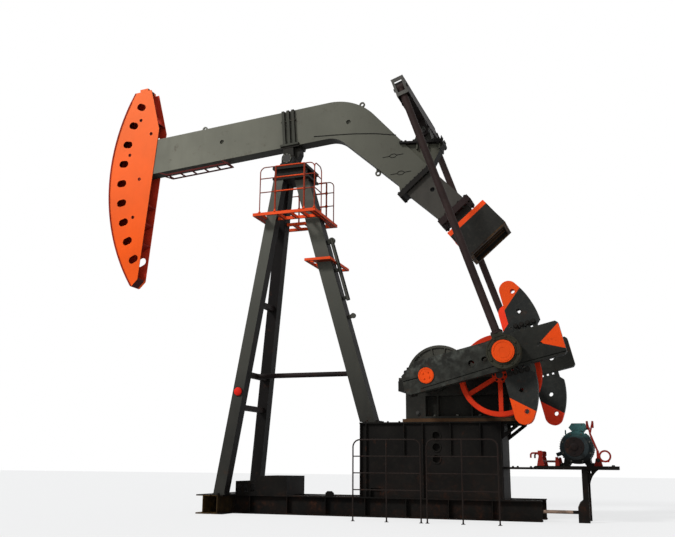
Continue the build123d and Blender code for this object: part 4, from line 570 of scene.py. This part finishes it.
def bolt_heads(places, axis, across=0.03):
    """Washer and six-sided head with a chamfered top: rings of 12 points, the head's on its flats."""
    half = across / 2
    profile = [(1.5 * half, -0.02 * half), (1.5 * half, 0.2 * half), (-half, 0.2 * half),
               (-half, 1.1 * half), (0.86 * half, 1.3 * half)]
    return turned(profile, places, axis, 12, 6)


def carried(profile, path, side, swell=None):
    """Profile (M, 2) carried along a path (N, 3): its first part lies along side, its second square to it."""
    profile = np.asarray(profile, float)
    path = np.asarray(path, float)
    run = np.gradient(path, axis=0)
    run = run / np.linalg.norm(run, axis=1, keepdims=True)
    first = np.asarray(side, float) - (run @ np.asarray(side, float))[:, None] * run
    first = first / np.linalg.norm(first, axis=1, keepdims=True)
    second = np.cross(run, first)
    size = np.ones(len(path)) if swell is None else np.asarray(swell)
    part = profile[None, :, 0, None] * first[:, None] + profile[None, :, 1, None] * second[:, None]
    return path[:, None] + size[:, None, None] * part


def rounded(width, depth, corner=0.25, points=3):
    """Rectangle with rounded corners: each corner a quarter circle of a share of the shorter side."""
    radius = corner * min(width, depth)
    turn = (np.arange(points) / max(points - 1, 1))[None] * pi / 2 + (np.arange(4) * pi / 2)[:, None]
    reach = np.array([width / 2 - radius, depth / 2 - radius])
    middle = np.array([[1, 1], [-1, 1], [-1, -1], [1, -1]]) * reach
    ring = middle[:, None] + radius * np.stack([np.cos(turn), np.sin(turn)], -1)
    return ring.reshape(-1, 2)


def disc(radius, sides=10):
    """Circle of points."""
    turn = np.arange(sides) * 2 * pi / sides
    return radius * np.stack([np.cos(turn), np.sin(turn)], -1)


def bars(starts, ends, profile, side):
    """Straight bars of one profile between pairs of points: two rings each, square to the run."""
    starts = np.atleast_2d(np.asarray(starts, float))
    ends = np.atleast_2d(np.asarray(ends, float))
    profile = np.asarray(profile, float)
    run = ends - starts
    run = run / np.linalg.norm(run, axis=1, keepdims=True)
    side = np.broadcast_to(np.asarray(side, float), run.shape)
    first = side - np.sum(side * run, 1, keepdims=True) * run
    first = first / np.linalg.norm(first, axis=1, keepdims=True)
    second = np.cross(run, first)
    ring = profile[None, :, 0, None] * first[:, None] + profile[None, :, 1, None] * second[:, None]
    return np.stack([starts[:, None] + ring, ends[:, None] + ring], 1)


def bead(points, radius=0.007, step=0.006):
    """Weld bead along a broken line: a half-round run whose size swells and shrinks once every 20 mm."""
    points = np.asarray(points, float)
    lengths = np.r_[0, np.cumsum(np.linalg.norm(np.diff(points, axis=0), axis=1))]
    spots = np.linspace(0, lengths[-1], max(4, int(lengths[-1] / step)))
    path = np.stack([np.interp(spots, lengths, points[:, k]) for k in range(3)], 1)
    swell = 0.85 + 0.15 * np.sin(spots * 2 * pi / 0.02)
    return carried(disc(radius, 6), path, SKY + np.array([0.01, 0.02, 0]), swell)


def slab(outline, place, low, high, bevel=0.004):
    """Plate from an outline in a frame: four rings, the outer two drawn in by the bevel along the mitre."""
    outline = np.asarray(outline, float)
    after = np.roll(outline, -1, 0) - outline
    after = after / np.linalg.norm(after, axis=1, keepdims=True)
    before = np.roll(after, 1, 0)
    normal = np.stack([-(after + before)[:, 1], (after + before)[:, 0]], 1)
    scale = 1 + np.sum(after * before, 1, keepdims=True)
    following = np.roll(outline, -1, 0)
    turn = np.sign(np.sum(outline[:, 0] * following[:, 1] - outline[:, 1] * following[:, 0]))
    inset = outline + turn * bevel * normal / np.maximum(scale, 0.3)
    rings = ((inset, low), (outline, low + bevel), (outline, high - bevel), (inset, high))
    return np.stack([place.at(*ring.T, across) for ring, across in rings])


def grid_of(*ranges):
    """All combinations of some lists of numbers, one array for each list."""
    return [part.ravel() for part in np.meshgrid(*ranges, indexing="ij")]


def ring_of(place, radius, count, across, start=0.0, along=0.0, up=0.0):
    """Points evenly round a circle in a frame."""
    turn = radians(start) + np.arange(count) * 2 * pi / count
    return place.at(along + radius * np.cos(turn), up + radius * np.sin(turn), across)


BOTH = np.array([-1.0, 1.0])
SIDES = (("near", -1, NEAR), ("far", 1, FAR))


def bolts(name, places, axis, across, body="base", finish=DARK_BOLT):
    """Bolt heads or nuts of one size across their flats, all on one body."""
    return shells(name, bolt_heads(places, axis, across), body, "shaft_steel", finish)


def through_bolts(head_name, nut_name, faces, up, side, across):
    """Heads on the first face of the beam's arm and nuts on its second face, at the same spots."""
    head_face, nut_face = faces
    bolts(head_name, ARM.at(head_face, up, side), -ARM.along, across, "beam")
    bolts(nut_name, ARM.at(nut_face, up, side), ARM.along, across, "beam")


def hoops(name, profile, centres, axis, sides, body, slot, finish=None):
    """Rings with an open middle: a closed profile turned round an axis at each centre."""
    return shells(name, turned(profile, centres, axis, sides), body, slot, finish, True)


# Walking beam: weld seam, line marks, stiffener welds and the bolts of its joint and its clamp
BEAM_SIDE = 0.153
MARK_SIDE = 0.152
STIFFENER_EDGES = [-0.131, -0.065, -0.023, 0.043, 0.085, 0.151]
seam = [(0.545, 0.437), (0.783, 0.405), (0.999, 0.380), (1.424, 0.319), (1.839, 0.239), (2.265, 0.121)]
seam_along, seam_up = np.array(seam).T
mark_spots = ((2.170, -0.300), (2.295, -0.683))
mark_lines = {
    "upper": np.array([(-0.21, 0), (-0.08, 0), (-0.03, 0.036), (0.03, 0.036), (0.08, 0), (0.21, 0)]),
    "lower": np.array([(-0.08, 0), (-0.03, -0.036), (0.03, -0.036), (0.08, 0)]),
}
for label, side, _ in SIDES:
    seam_path = BEAM.at(seam_along, seam_up, side * BEAM_SIDE)
    shells(f"beam_seam_{label}", bead(seam_path, 0.011), "beam", "beam_grey", DARK_LINE)
    for number, (along, up) in enumerate(mark_spots):
        for half, line in mark_lines.items():
            mark = bead(BEAM.at(along + line[:, 0], up + line[:, 1], side * MARK_SIDE), 0.008)
            shells(f"beam_mark_{label}_{number}_{half}", mark, "beam", "beam_grey", DARK_LINE)
edge, side = grid_of(STIFFENER_EDGES, BOTH * BEAM_SIDE)
runs = [bead(BEAM.at([e, e], [0.372, 1.105], s), 0.006, 0.02) for e, s in zip(edge, side)]
shells("stiffener_welds", np.stack(runs), "beam", "beam_grey")
JOINT_FACES = (-0.05, 0.05)
CLAMP_FACES = (0.940, 1.065)
up, side = grid_of(np.linspace(-0.40, 0.34, 8), BOTH * 0.1705)
through_bolts("joint_bolt_heads", "joint_nuts", JOINT_FACES, up, side, 0.028)
through_bolts("joint_low_bolts", "joint_low_nuts", JOINT_FACES, -0.405, np.linspace(-0.13, 0.13, 4), 0.034)
up, side = grid_of(np.linspace(-0.20, 0.44, 5), BOTH * 0.180)
through_bolts("clamp_bolts", "clamp_nuts", CLAMP_FACES, up, side, 0.045)

# Tail weight: the ribs in its open end and its edge welds
low, high = (ARM.at(1.84, up, [-0.17, 0.0, 0.17]) for up in (-0.20, 0.54))
shells("tail_ribs", bars(low, high, rounded(0.02, 0.05), FAR), "beam", "tail_grey", BROWN_RIB)
corners = [ARM.at([1.30, 1.91], [u, u], a) for u in (-0.27, 0.61) for a in (-0.35, 0.35)]
shells("tail_welds", np.stack([bead(c, 0.008, 0.02) for c in corners]), "beam", "tail_grey")

# Seat of the tail bearing: its foot bolts, and the studs and nuts at both ends of the seat plate
SEAT_PLATE_TOP = -0.215
SEAT_PLATE_UNDERSIDE = -0.255
along, side = grid_of(BOTH * 0.190, BOTH * 0.11)
bolts("housing_foot_bolts", SEAT.at(along, -0.165, side), SEAT.up, 0.030, "beam")
along, side = grid_of([0.255, 0.315, 0.372], [-0.195, -0.130, -0.065, 0.065, 0.130, 0.195])
stud_spots = SEAT.at(along, SEAT_PLATE_TOP, side)
bolts("seat_stud_nuts", stud_spots, SEAT.up, 0.040, "beam")
stud = [(0.011, 0.0), (0.011, 0.085), (0.007, 0.09)]
shells("seat_studs", turned(stud, stud_spots, SEAT.up, 10), "beam", "shaft_steel", DARK_BOLT)
bolts("seat_under_nuts", SEAT.at(along[3:], SEAT_PLATE_UNDERSIDE, side[3:]), -SEAT.up, 0.040, "beam")
along, side = grid_of([-0.42, -0.34], BOTH * 0.19)
bolts("seat_left_bolts", SEAT.at(along, SEAT_PLATE_TOP, side), SEAT.up, 0.040, "beam")

# Equalizer: end plates of its shaft with their bolts, and the edge welds and ribs of its box
BOX_HALF = 0.115
shaft_plate = [(0.057, -0.002), (0.057, 0.010), (0.050, 0.014)]
plates = turned(shaft_plate, ROD.at(0, 0, BOTH * 0.235), [NEAR, FAR], 36)
shells("tail_shaft_plates", plates, "pitman_set", "shaft_steel")
spots = np.concatenate([ring_of(ROD, 0.036, 3, s * 0.248) for s in BOTH])
bolts("tail_shaft_bolts", spots, np.repeat([NEAR, FAR], 3, 0), 0.020, "pitman_set")
edges = [ROD.at([0.654, 0.654], [v, v], [-1.335, 1.335]) for v in BOTH * BOX_HALF]
shells("equalizer_welds", np.stack([bead(e, 0.007, 0.02) for e in edges]), "pitman_set", "pitman_brown")
low, high = (ROD.at(along, BOX_HALF, [-0.9, -0.45, 0.45, 0.9]) for along in (0.30, 0.64))
shells("equalizer_ribs", bars(low, high, rounded(0.016, 0.03), FAR), "pitman_set", "pitman_brown",
       own_finish["equalizer_beam"])

# Pitman feet with their bolts, and the rings on the pin housings, pin caps and shaft caps
PITMAN_SIDE = 1.243
HOUSING_SIDE = 1.333
PIN_CAP_SIDE = 1.375
SHAFT_CAP_SIDE = 1.035
FOOT_RADIUS = 0.086
turn = np.arange(6) * pi / 3
across = np.concatenate([s * PITMAN_SIDE + FOOT_RADIUS * np.cos(turn) for s in BOTH])
up = np.tile(FOOT_RADIUS * np.sin(turn), 2)
bolts("pitman_foot_bolts", ROD.at(0.360 - ROD_LENGTH, up, across), ROD.along, 0.022, "pitman_set")
HUB = Place(*PIN, CRANK_ANGLE)
housing_rings = {
    "housing_ring": [(0.196, 0.0), (0.196, 0.014), (0.214, 0.018), (0.222, 0.0)],
    "housing_rim": [(0.262, -0.002), (0.262, 0.010), (0.281, 0.010), (0.284, -0.002)],
}
cap_rings = {
    "pin_cap_ring": [(0.148, -0.002), (0.151, 0.006), (0.163, 0.006), (0.166, -0.002)],
    "pin_cap_dish": [(0.060, -0.002), (0.062, 0.004), (0.112, 0.004), (0.118, -0.002)],
}
shaft_ring = [(0.108, -0.002), (0.110, 0.005), (0.122, 0.005), (0.126, -0.002)]
for label, side, axis in SIDES:
    face = HUB.at(0, 0, side * HOUSING_SIDE)
    for kind, profile in housing_rings.items():
        hoops(f"{kind}_{label}", profile, face, axis, 64, "pitman_set", "dark_grey_paint", OLIVE_RING)
    spots = ring_of(HUB, 0.242, 8, side * HOUSING_SIDE, 22.5)
    bolts(f"housing_bolts_{label}", spots, axis, 0.034, "pitman_set", OLIVE_RING)
    face = HUB.at(0, 0, side * PIN_CAP_SIDE)
    for kind, profile in cap_rings.items():
        hoops(f"{kind}_{label}", profile, face, axis, 64, "pitman_set", "cap_orange")
    face = CRANK.at(0, 0, side * SHAFT_CAP_SIDE)
    hoops(f"shaft_cap_ring_{label}", shaft_ring, face, axis, 48, "crank_set", "cap_orange")
    spots = ring_of(CRANK, 0.066, 4, side * SHAFT_CAP_SIDE, 45)
    shells(f"shaft_cap_bolts_{label}", bolt_heads(spots, axis, 0.026), "crank_set", "cap_orange")

# Cranks: clamp nuts of the jaws, studs between the weights' teeth and lips round the holes
WEIGHT_SIDE = 1.007
WEIGHT_HOLE_SIDE = 1.006
CRANK_SIDE = 1.014
TOOTH_START, TOOTH_PITCH, TOOTH_COUNT = 0.062, 0.099, 4
STUD_UP, STUD_DOWN = 0.408, -0.338
along, side = grid_of([-0.345, -0.285], [-0.968, -0.880, 0.880, 0.968])
jaw_top = np.where(along < -0.3, 0.150, 0.187)
bolts("jaw_nuts", CRANK.at(along, jaw_top, side), CRANK.up, 0.055, "crank_set")
bolts("jaw_low_nuts", CRANK.at(along, -0.245, side), -CRANK.up, 0.055, "crank_set")
teeth = TOOTH_START + TOOTH_PITCH * (np.arange(TOOTH_COUNT) + 0.5)
weight_lip = [(0.041, -0.004), (0.041, 0.005), (0.056, 0.004), (0.060, -0.004)]
crank_lip = [(0.053, -0.004), (0.053, 0.006), (0.068, 0.005), (0.074, -0.004)]
for label, side, axis in SIDES:
    high_seat, low_seat = WEIGHT_SEATS[label]
    spots = np.concatenate([CRANK.at(high_seat + teeth, STUD_UP, side * WEIGHT_SIDE),
                            CRANK.at(low_seat + teeth, STUD_DOWN, side * WEIGHT_SIDE)])
    bolts(f"weight_studs_{label}", spots, axis, 0.060, "crank_set")
    hole_along = [high_seat + 0.215, high_seat + 0.220, low_seat + 0.215, low_seat + 0.220]
    holes = CRANK.at(hole_along, [1.0, 0.64, -1.0, -0.64], side * WEIGHT_HOLE_SIDE)
    hoops(f"weight_lips_{label}", weight_lip, holes, axis, 32, "crank_set", "weight_paint",
          own_finish[f"crank_weights_{label}"])
    holes = CRANK.at([0.805, 1.038], 0, side * CRANK_SIDE)
    hoops(f"crank_lips_{label}", crank_lip, holes, axis, 32, "crank_set", "crank_grey")

# Sheave and motor pulley: ridges of their grooves, hub and bolts; brake band with its lugs
RIDGE_START, RIDGE_PITCH, RIDGE_COUNT = -0.626, 0.0296, 6
RIDGE_PLACES = RIDGE_START - RIDGE_PITCH * np.arange(RIDGE_COUNT)
WHEEL_FACE = -0.780


def ridge(radius, height):
    """Section of a ridge on a drum: from just under the drum's radius up to that radius plus the height."""
    foot, top = radius - 0.002, radius + height
    return [(foot, -0.006), (top, -0.002), (top, 0.002), (foot, 0.006)]


pulley_finish = own_finish["motor_pulley"]
hoops("sheave_ridges", ridge(0.690, 0.008), INPUT.at(0, 0, RIDGE_PLACES), FAR, 96, "sheave_set",
      "sheave_orange")
hoops("pulley_ridges", ridge(0.150, 0.006), MOTOR.at(0, 0, RIDGE_PLACES), FAR, 48, "motor_rotor",
      "dark_grey_paint", pulley_finish)
bolts("sheave_hub_bolts", ring_of(INPUT, 0.096, 6, WHEEL_FACE), NEAR, 0.026, "sheave_set")
hub = [(0.062, -0.003), (0.062, 0.012), (0.050, 0.018), (0.012, 0.018)]
shells("pulley_hub", turned(hub, MOTOR.at(0, 0, WHEEL_FACE), NEAR, 32), "motor_rotor", "shaft_steel",
       pulley_finish)
bolts("pulley_bolts", ring_of(MOTOR, 0.105, 4, WHEEL_FACE), NEAR, 0.020, "motor_rotor")
band = [(0.2925, 0.640), (0.2925, 0.730), (0.300, 0.730), (0.300, 0.640)]
hoops("brake_band", band, INPUT.at(0, 0), FAR, 72, "base", "dark_grey_paint")
lugs = [(-0.03, 0.296), (0.03, 0.296), (0.03, 0.350), (-0.03, 0.350)]
shells("band_lugs", slab(lugs, INPUT, 0.650, 0.720), "base", "dark_grey_paint")
anchor = bars(INPUT.at(0.215, -0.215, 0.700), INPUT.at(0.215, -0.215, 0.425), rounded(0.05, 0.03), SKY)
shells("band_anchor", anchor, "base", "dark_grey_paint")
bolts("band_bolt", INPUT.at(0.03, 0.325, 0.685), GROUND.along, 0.030)

# Reducer: flange and cap bolts, hatch with its breather, drain plugs and the holding bolts
FLANGE_HALF = 0.030
HATCH_TOP = 0.372
along, side = grid_of(np.arange(-0.48, 1.56, 0.136), BOTH * 0.438)
bolts("flange_bolts", CASE.at(along, FLANGE_HALF, side), SKY, 0.028)
bolts("flange_nuts", CASE.at(along, -FLANGE_HALF, side * 1.016), -SKY, 0.020)
along, side = grid_of([-0.585, 1.625], np.linspace(-0.38, 0.38, 5))
bolts("flange_end_bolts", CASE.at(along, FLANGE_HALF, side), SKY, 0.040)
for label, side, axis in SIDES:
    bolts(f"crank_cap_bolts_{label}", ring_of(CASE, 0.232, 12, side * 0.590, 15), axis, 0.036)
    bolts(f"input_cap_bolts_{label}", ring_of(INPUT, 0.134, 8, side * 0.550, 22), axis, 0.022)
    spots = GROUND.at([2.98, 3.38, 3.78, 4.18], 1.740, side * 0.365)
    bolts(f"holding_bolts_{label}", spots, SKY, 0.050, "base", BRIGHT_BOLT)
    plug = bolt_heads(CASE.at(-0.30, -0.60, side * 0.430), axis, 0.055)
    shells(f"drain_plug_{label}", plug, "base", "shaft_steel")
hatch = [(0.72, 0.346), (1.12, 0.346), (1.12, HATCH_TOP), (0.72, HATCH_TOP)]
shells("reducer_hatch", slab(hatch, CASE, -0.22, 0.22), "base", "dark_grey_paint")
along, side = grid_of([0.75, 0.92, 1.09], BOTH * 0.19)
bolts("hatch_bolts", CASE.at(along, HATCH_TOP, side), SKY, 0.026)
breather = [(0.022, -0.01), (0.022, 0.05), (0.045, 0.055), (0.050, 0.075), (0.045, 0.100), (0.020, 0.112)]
shells("breather", turned(breather, CASE.at(0.92, HATCH_TOP), SKY, 28), "base", "dark_grey_paint")

# Saddle pillows: pad bolts, end covers and their bolts
SADDLE = Place(0.0, PIVOT_HEIGHT)
along, side = grid_of(BOTH * 0.135, [-0.305, -0.225, 0.225, 0.305])
bolts("pillow_bolts", GROUND.at(along, 6.860, side), SKY, 0.022)
cover = [(0.077, -0.002), (0.077, 0.010), (0.100, 0.012), (0.108, -0.002)]
hoops("pillow_covers", cover, SADDLE.at(0, 0, BOTH * 0.336), [NEAR, FAR], 48, "base", "post_grey")
spots = np.concatenate([ring_of(SADDLE, 0.092, 8, s * 0.346, 22.5) for s in BOTH])
bolts("pillow_cover_bolts", spots, np.repeat([NEAR, FAR], 8, 0), 0.015)

# Post feet, the flanges and fittings of the platform's posts, and the feet of the guard panels
DECK_TOP = 5.750
RAIL_SIDE = 0.629
bolts("front_foot_bolts", GROUND.at(-0.98, 0.345, [-0.895, -0.615, 0.615, 0.895]), SKY, 0.045)
spots = GROUND.at([1.850, 1.850, 1.850, 1.850, 1.66, 1.66], 1.670, [-0.19, -0.07, 0.07, 0.19, -0.19, 0.19])
bolts("rear_foot_bolts", spots, SKY, 0.040)
flange = [(0.036, -0.001), (0.036, 0.007), (0.022, 0.012), (0.019, 0.03)]
near_posts = GROUND.at([-0.44, -0.11, 0.508, 0.725], DECK_TOP, -RAIL_SIDE)
far_posts = GROUND.at([-0.44, -0.11, 0.508, 0.67], DECK_TOP, RAIL_SIDE)
shells("rail_flanges", turned(flange, np.concatenate([near_posts, far_posts]), SKY, 16), "base", "orange_red")
fitting = [(0.021, -0.030), (0.024, -0.026), (0.024, 0.026), (0.021, 0.030)]
along, rail = grid_of([-0.11, 0.508], [0.420, 0.710])
spots = np.concatenate([GROUND.at(along, DECK_TOP + rail, s * RAIL_SIDE) for s in BOTH])
shells("rail_fittings", turned(fitting, spots, SKY, 16), "base", "orange_red")
guard_foot = [(0.034, 0.0), (0.034, 0.006), (0.016, 0.010), (0.0135, 0.03)]
spots = GROUND.at([1.845, 2.420, 2.995, 3.095, 3.670, 4.245], 0.0, -1.550)
shells("guard_feet", turned(guard_foot, spots, SKY, 16), "base", "guard_grey")

# Pedestal: port flanges with their bolts, rib welds and the bolts of its top plate
PORT_HEIGHTS = (1.008, 1.208, 1.408)
port = [(0.066, -0.002), (0.066, 0.012), (0.090, 0.012), (0.094, -0.002)]
for label, side, axis in SIDES:
    spots = GROUND.at(3.0, PORT_HEIGHTS, side * 0.400)
    hoops(f"port_flanges_{label}", port, spots, axis, 36, "base", "base_black")
    spots = np.concatenate([ring_of(GROUND, 0.078, 6, side * 0.412, 0, 3.0, up) for up in PORT_HEIGHTS])
    bolts(f"port_bolts_{label}", spots, axis, 0.014)
rib, side, edge = grid_of([1.72, 2.763], BOTH, BOTH * 0.012)
runs = [bead(GROUND.at([a, a], [0.36, 1.61], s * 0.402), 0.006, 0.02) for a, s in zip(rib + edge, side)]
shells("pedestal_welds", np.stack(runs), "base", "base_black")
along, side = grid_of(np.linspace(1.70, 2.34, 4), BOTH * 0.425)
bolts("pedestal_bolts", GROUND.at(along, 1.645, side), SKY, 0.030)

# Skid: stiffeners between the flanges
along, side = grid_of(np.arange(-0.55, 4.7, 0.75), [-0.404, -0.296, 0.296, 0.404])
low, high = (GROUND.at(along, height, side) for height in (0.022, 0.323))
shells("skid_stiffeners", bars(low, high, rounded(0.014, 0.088, 0.1, 2), GROUND.along), "base", "base_black")

# Motor: cooling fins, fan cowl with its rings, end-bell and foot bolts, box cover and lifting eye
FIN_RADIUS = 0.276
COWL_FACE = 0.360
wire = np.array([(0.004 * cos(t), 0.004 * sin(t)) for t in np.linspace(0, 2 * pi, 6, endpoint=False)])
angle = np.radians([a for a in range(0, 360, 8) if not (58 < a < 122 or 186 < a < 214 or 228 < a < 312)])
ray = np.cos(angle)[:, None] * MOTOR.along + np.sin(angle)[:, None] * MOTOR.up
fin = MOTOR.at(FIN_RADIUS * np.cos(angle), FIN_RADIUS * np.sin(angle))
fins = bars(fin + NEAR * 0.242, fin + FAR * 0.285, rounded(0.020, 0.005, 0.3, 2), ray)
shells("motor_fins", fins, "base", "motor_teal")
cowl = [(0.262, 0.283), (0.270, 0.287), (0.270, 0.330), (0.258, 0.348), (0.215, 0.358), (0.060, COWL_FACE)]
shells("fan_cowl", turned(cowl, MOTOR.at(0, 0), FAR, 56), "base", "motor_teal")
for number in range(4):
    ring = wire + [0.08 + 0.035 * number, COWL_FACE]
    hoops(f"cowl_ring_{number}", ring, MOTOR.at(0, 0), FAR, 40, "base", "dark_grey_paint")
bolts("bell_bolts", ring_of(MOTOR, 0.238, 8, -0.250, 22.5), NEAR, 0.022, "base", BRIGHT_BOLT)
bearing_cover = [(0.110, -0.002), (0.110, 0.010), (0.095, 0.016), (0.045, 0.018)]
shells("bearing_cover", turned(bearing_cover, MOTOR.at(0, 0, -0.320), NEAR, 40), "base", "motor_teal")
along, side = grid_of(BOTH * 0.252, [-0.15, 0.19])
bolts("motor_foot_bolts", GROUND.at(MOTOR.x + along, 0.936, side), SKY, 0.034, "base", BRIGHT_BOLT)
box = [(-0.055, 0.262), (0.110, 0.262), (0.165, 0.332), (0.138, 0.396), (-0.060, 0.396), (-0.112, 0.332)]
shells("terminal_cover", slab(box, MOTOR, -0.140, -0.128), "base", "motor_teal")
spots = MOTOR.at([-0.03, 0.09, 0.10, -0.04], [0.275, 0.275, 0.382, 0.382], -0.140)
bolts("terminal_bolts", spots, NEAR, 0.016, "base", BRIGHT_BOLT)
gland = [(0.024, -0.01), (0.024, 0.02), (0.018, 0.024), (0.018, 0.05), (0.010, 0.055)]
shells("cable_gland", turned(gland, MOTOR.at(0.168, 0.325, 0.03), GROUND.along, 20), "base",
       "dark_grey_paint")
eye = [(0.0304 + 0.0096 * cos(t), 0.0096 * sin(t)) for t in np.linspace(0, 2 * pi, 8, endpoint=False)]
hoops("motor_eye", eye, MOTOR.at(-0.175, 0.258, -0.10), GROUND.along, 20, "base", "motor_teal")

# Motor frame bolts, threads of the slide screws, pin of the lever and its grips
SCREW_SIDE = 0.30
THREAD_PITCH = 0.012
LEVER = Place(5.695, 1.000)
along, side = grid_of([4.30, 4.60, 5.148, 5.92], BOTH * SCREW_SIDE)
bolts("rail_bolts", GROUND.at(along, np.where(along < 4.67, 0.881, 0.905), side), SKY, 0.030)
spots = np.arange(4.80, 5.02, 0.002)
swell = 1.0 + 0.09 * np.sin(spots * 2 * pi / THREAD_PITCH)
threads = [carried(disc(0.0165, 10), GROUND.at(spots, 0.98, s * SCREW_SIDE), SKY, swell) for s in BOTH]
shells("screw_threads", np.stack(threads), "base", "shaft_steel")
bolts("lever_pin_head", LEVER.at(0, 0, -0.330), NEAR, 0.045)
grip = [(0.015, -0.075), (0.018, -0.07), (0.019, 0.0), (0.018, 0.035), (0.012, 0.04)]
shells("lever_grips", turned(grip, LEVER.at([-0.144, -0.056], 0.60, -0.300), SKY, 14), "lever", "red_paint")

# Horsehead: rims of its small holes and edge strips of its track
TRACK_RADIUS = 4.3435
rim = [(0.0245, -0.002), (0.0245, 0.004), (0.036, 0.005), (0.039, -0.002)]
hole_along = [-3.534, -3.276, -3.821, -3.579, -3.745]
hole_up = [1.652, 1.277, 0.872, 0.261, -0.593]
turn = np.radians(np.linspace(150.4, 209.0, 60))
strip = rounded(0.010, 0.030, 0.2, 2)
for label, side, axis in SIDES:
    holes = BEAM.at(hole_along, hole_up, side * 0.165)
    hoops(f"head_rims_{label}", rim, holes, axis, 24, "beam", "head_red", RIM_RED)
    path = BEAM.at(TRACK_RADIUS * np.cos(turn), TRACK_RADIUS * np.sin(turn), side * 0.174)
    shells(f"track_strip_{label}", carried(strip, path, FAR), "beam", "head_red")

# Red round fitting on the near front leg, with its dark band
fitting_spot = GROUND.at(-0.735, 2.232, -0.686)
dome = [(0.080, -0.02), (0.080, 0.030), (0.072, 0.050), (0.045, 0.066), (0.012, 0.070)]
shells("leg_fitting", turned(dome, fitting_spot, NEAR, 36), "base", "red_paint", LAMP_RED)
belt = [(0.079, 0.008), (0.087, 0.010), (0.087, 0.024), (0.079, 0.026)]
hoops("leg_fitting_band", belt, fitting_spot, NEAR, 36, "base", "shaft_steel", DARK_BOLT)

# Floor, backdrop, lamps and camera
FLOOR_HALF = 60.0
sheet = bpy.data.meshes.new("floor")
corners = [(x, y, 0.0) for x, y in ((-1, -1), (1, -1), (1, 1), (-1, 1))]
sheet.from_pydata((np.array(corners) * FLOOR_HALF).tolist(), [], [(0, 1, 2, 3)])
floor = bpy.data.objects.new("floor", sheet)
bpy.context.scene.collection.objects.link(floor)
pale = Paint("floor_pale")
pale.finish((0.62, 0.62, 0.62, 1.0), 0.8, pale.noise(3.0), depth=0.0002)
seen = pale.add("ShaderNodeLightPath", {}, {})["Is Camera Ray"]
white = pale.add("ShaderNodeEmission", {}, {"Strength": 1.0})["Emission"]
lit = Field(pale, pale.shader.outputs[0])
mixed = pale.add("ShaderNodeMixShader", {}, {0: seen * 0.70, 1: lit, 2: white})["Shader"]
pale.put(pale.tree.nodes["Material Output"].inputs["Surface"], mixed)
floor.data.materials.append(pale.material)

world = bpy.data.worlds.new("studio")
bpy.context.scene.world = world
world.use_nodes = True
world.node_tree.nodes.clear()
studio = Net(world.node_tree)
rays = studio.add("ShaderNodeLightPath", {}, {})
seen = rays["Is Camera Ray"].greater(rays["Is Glossy Ray"]).greater(rays["Is Transmission Ray"])
sky, white = (studio.add("ShaderNodeBackground", {}, {"Color": colour, "Strength": strength})["Background"]
              for colour, strength in (((0.80, 0.85, 0.90, 1.0), 0.50), ((1.0, 1.0, 1.0, 1.0), 1.0)))
mixed = studio.add("ShaderNodeMixShader", {}, {0: seen, 1: sky, 2: white})["Shader"]
studio.add("ShaderNodeOutputWorld", {}, {"Surface": mixed})


def sun(name, strength, direction, spread):
    """Soft distant lamp that shines along a direction."""
    lamp = bpy.data.lights.new(name, "SUN")
    lamp.energy = strength
    lamp.angle = radians(spread)
    held = bpy.data.objects.new(name, lamp)
    held.rotation_euler = Vector(direction).to_track_quat("-Z", "Y").to_euler()
    bpy.context.scene.collection.objects.link(held)


sun("key", 2.5, (0.55, 0.75, -0.70), 12)
sun("fill", 0.3, (-0.5, 0.8, -0.25), 40)

CAMERA_SPOT = (6.350, -15.0, 0.904)
YAW, PITCH, ROLL = 19.657, 13.261, 0.452
camera_data = bpy.data.cameras.new("camera")
camera_data.sensor_width = 36.0
camera_data.sensor_fit = "HORIZONTAL"
camera_data.lens = 44.30
camera_data.clip_end = 200
camera = bpy.data.objects.new("camera", camera_data)
aim = Matrix.Rotation(radians(YAW), 4, "Z") @ Matrix.Rotation(radians(90 + PITCH), 4, "X")
camera.matrix_world = Matrix.Translation(CAMERA_SPOT) @ aim @ Matrix.Rotation(radians(ROLL), 4, "Z")
bpy.context.scene.collection.objects.link(camera)
bpy.context.scene.camera = camera
bpy.context.scene.view_settings.view_transform = "Standard"
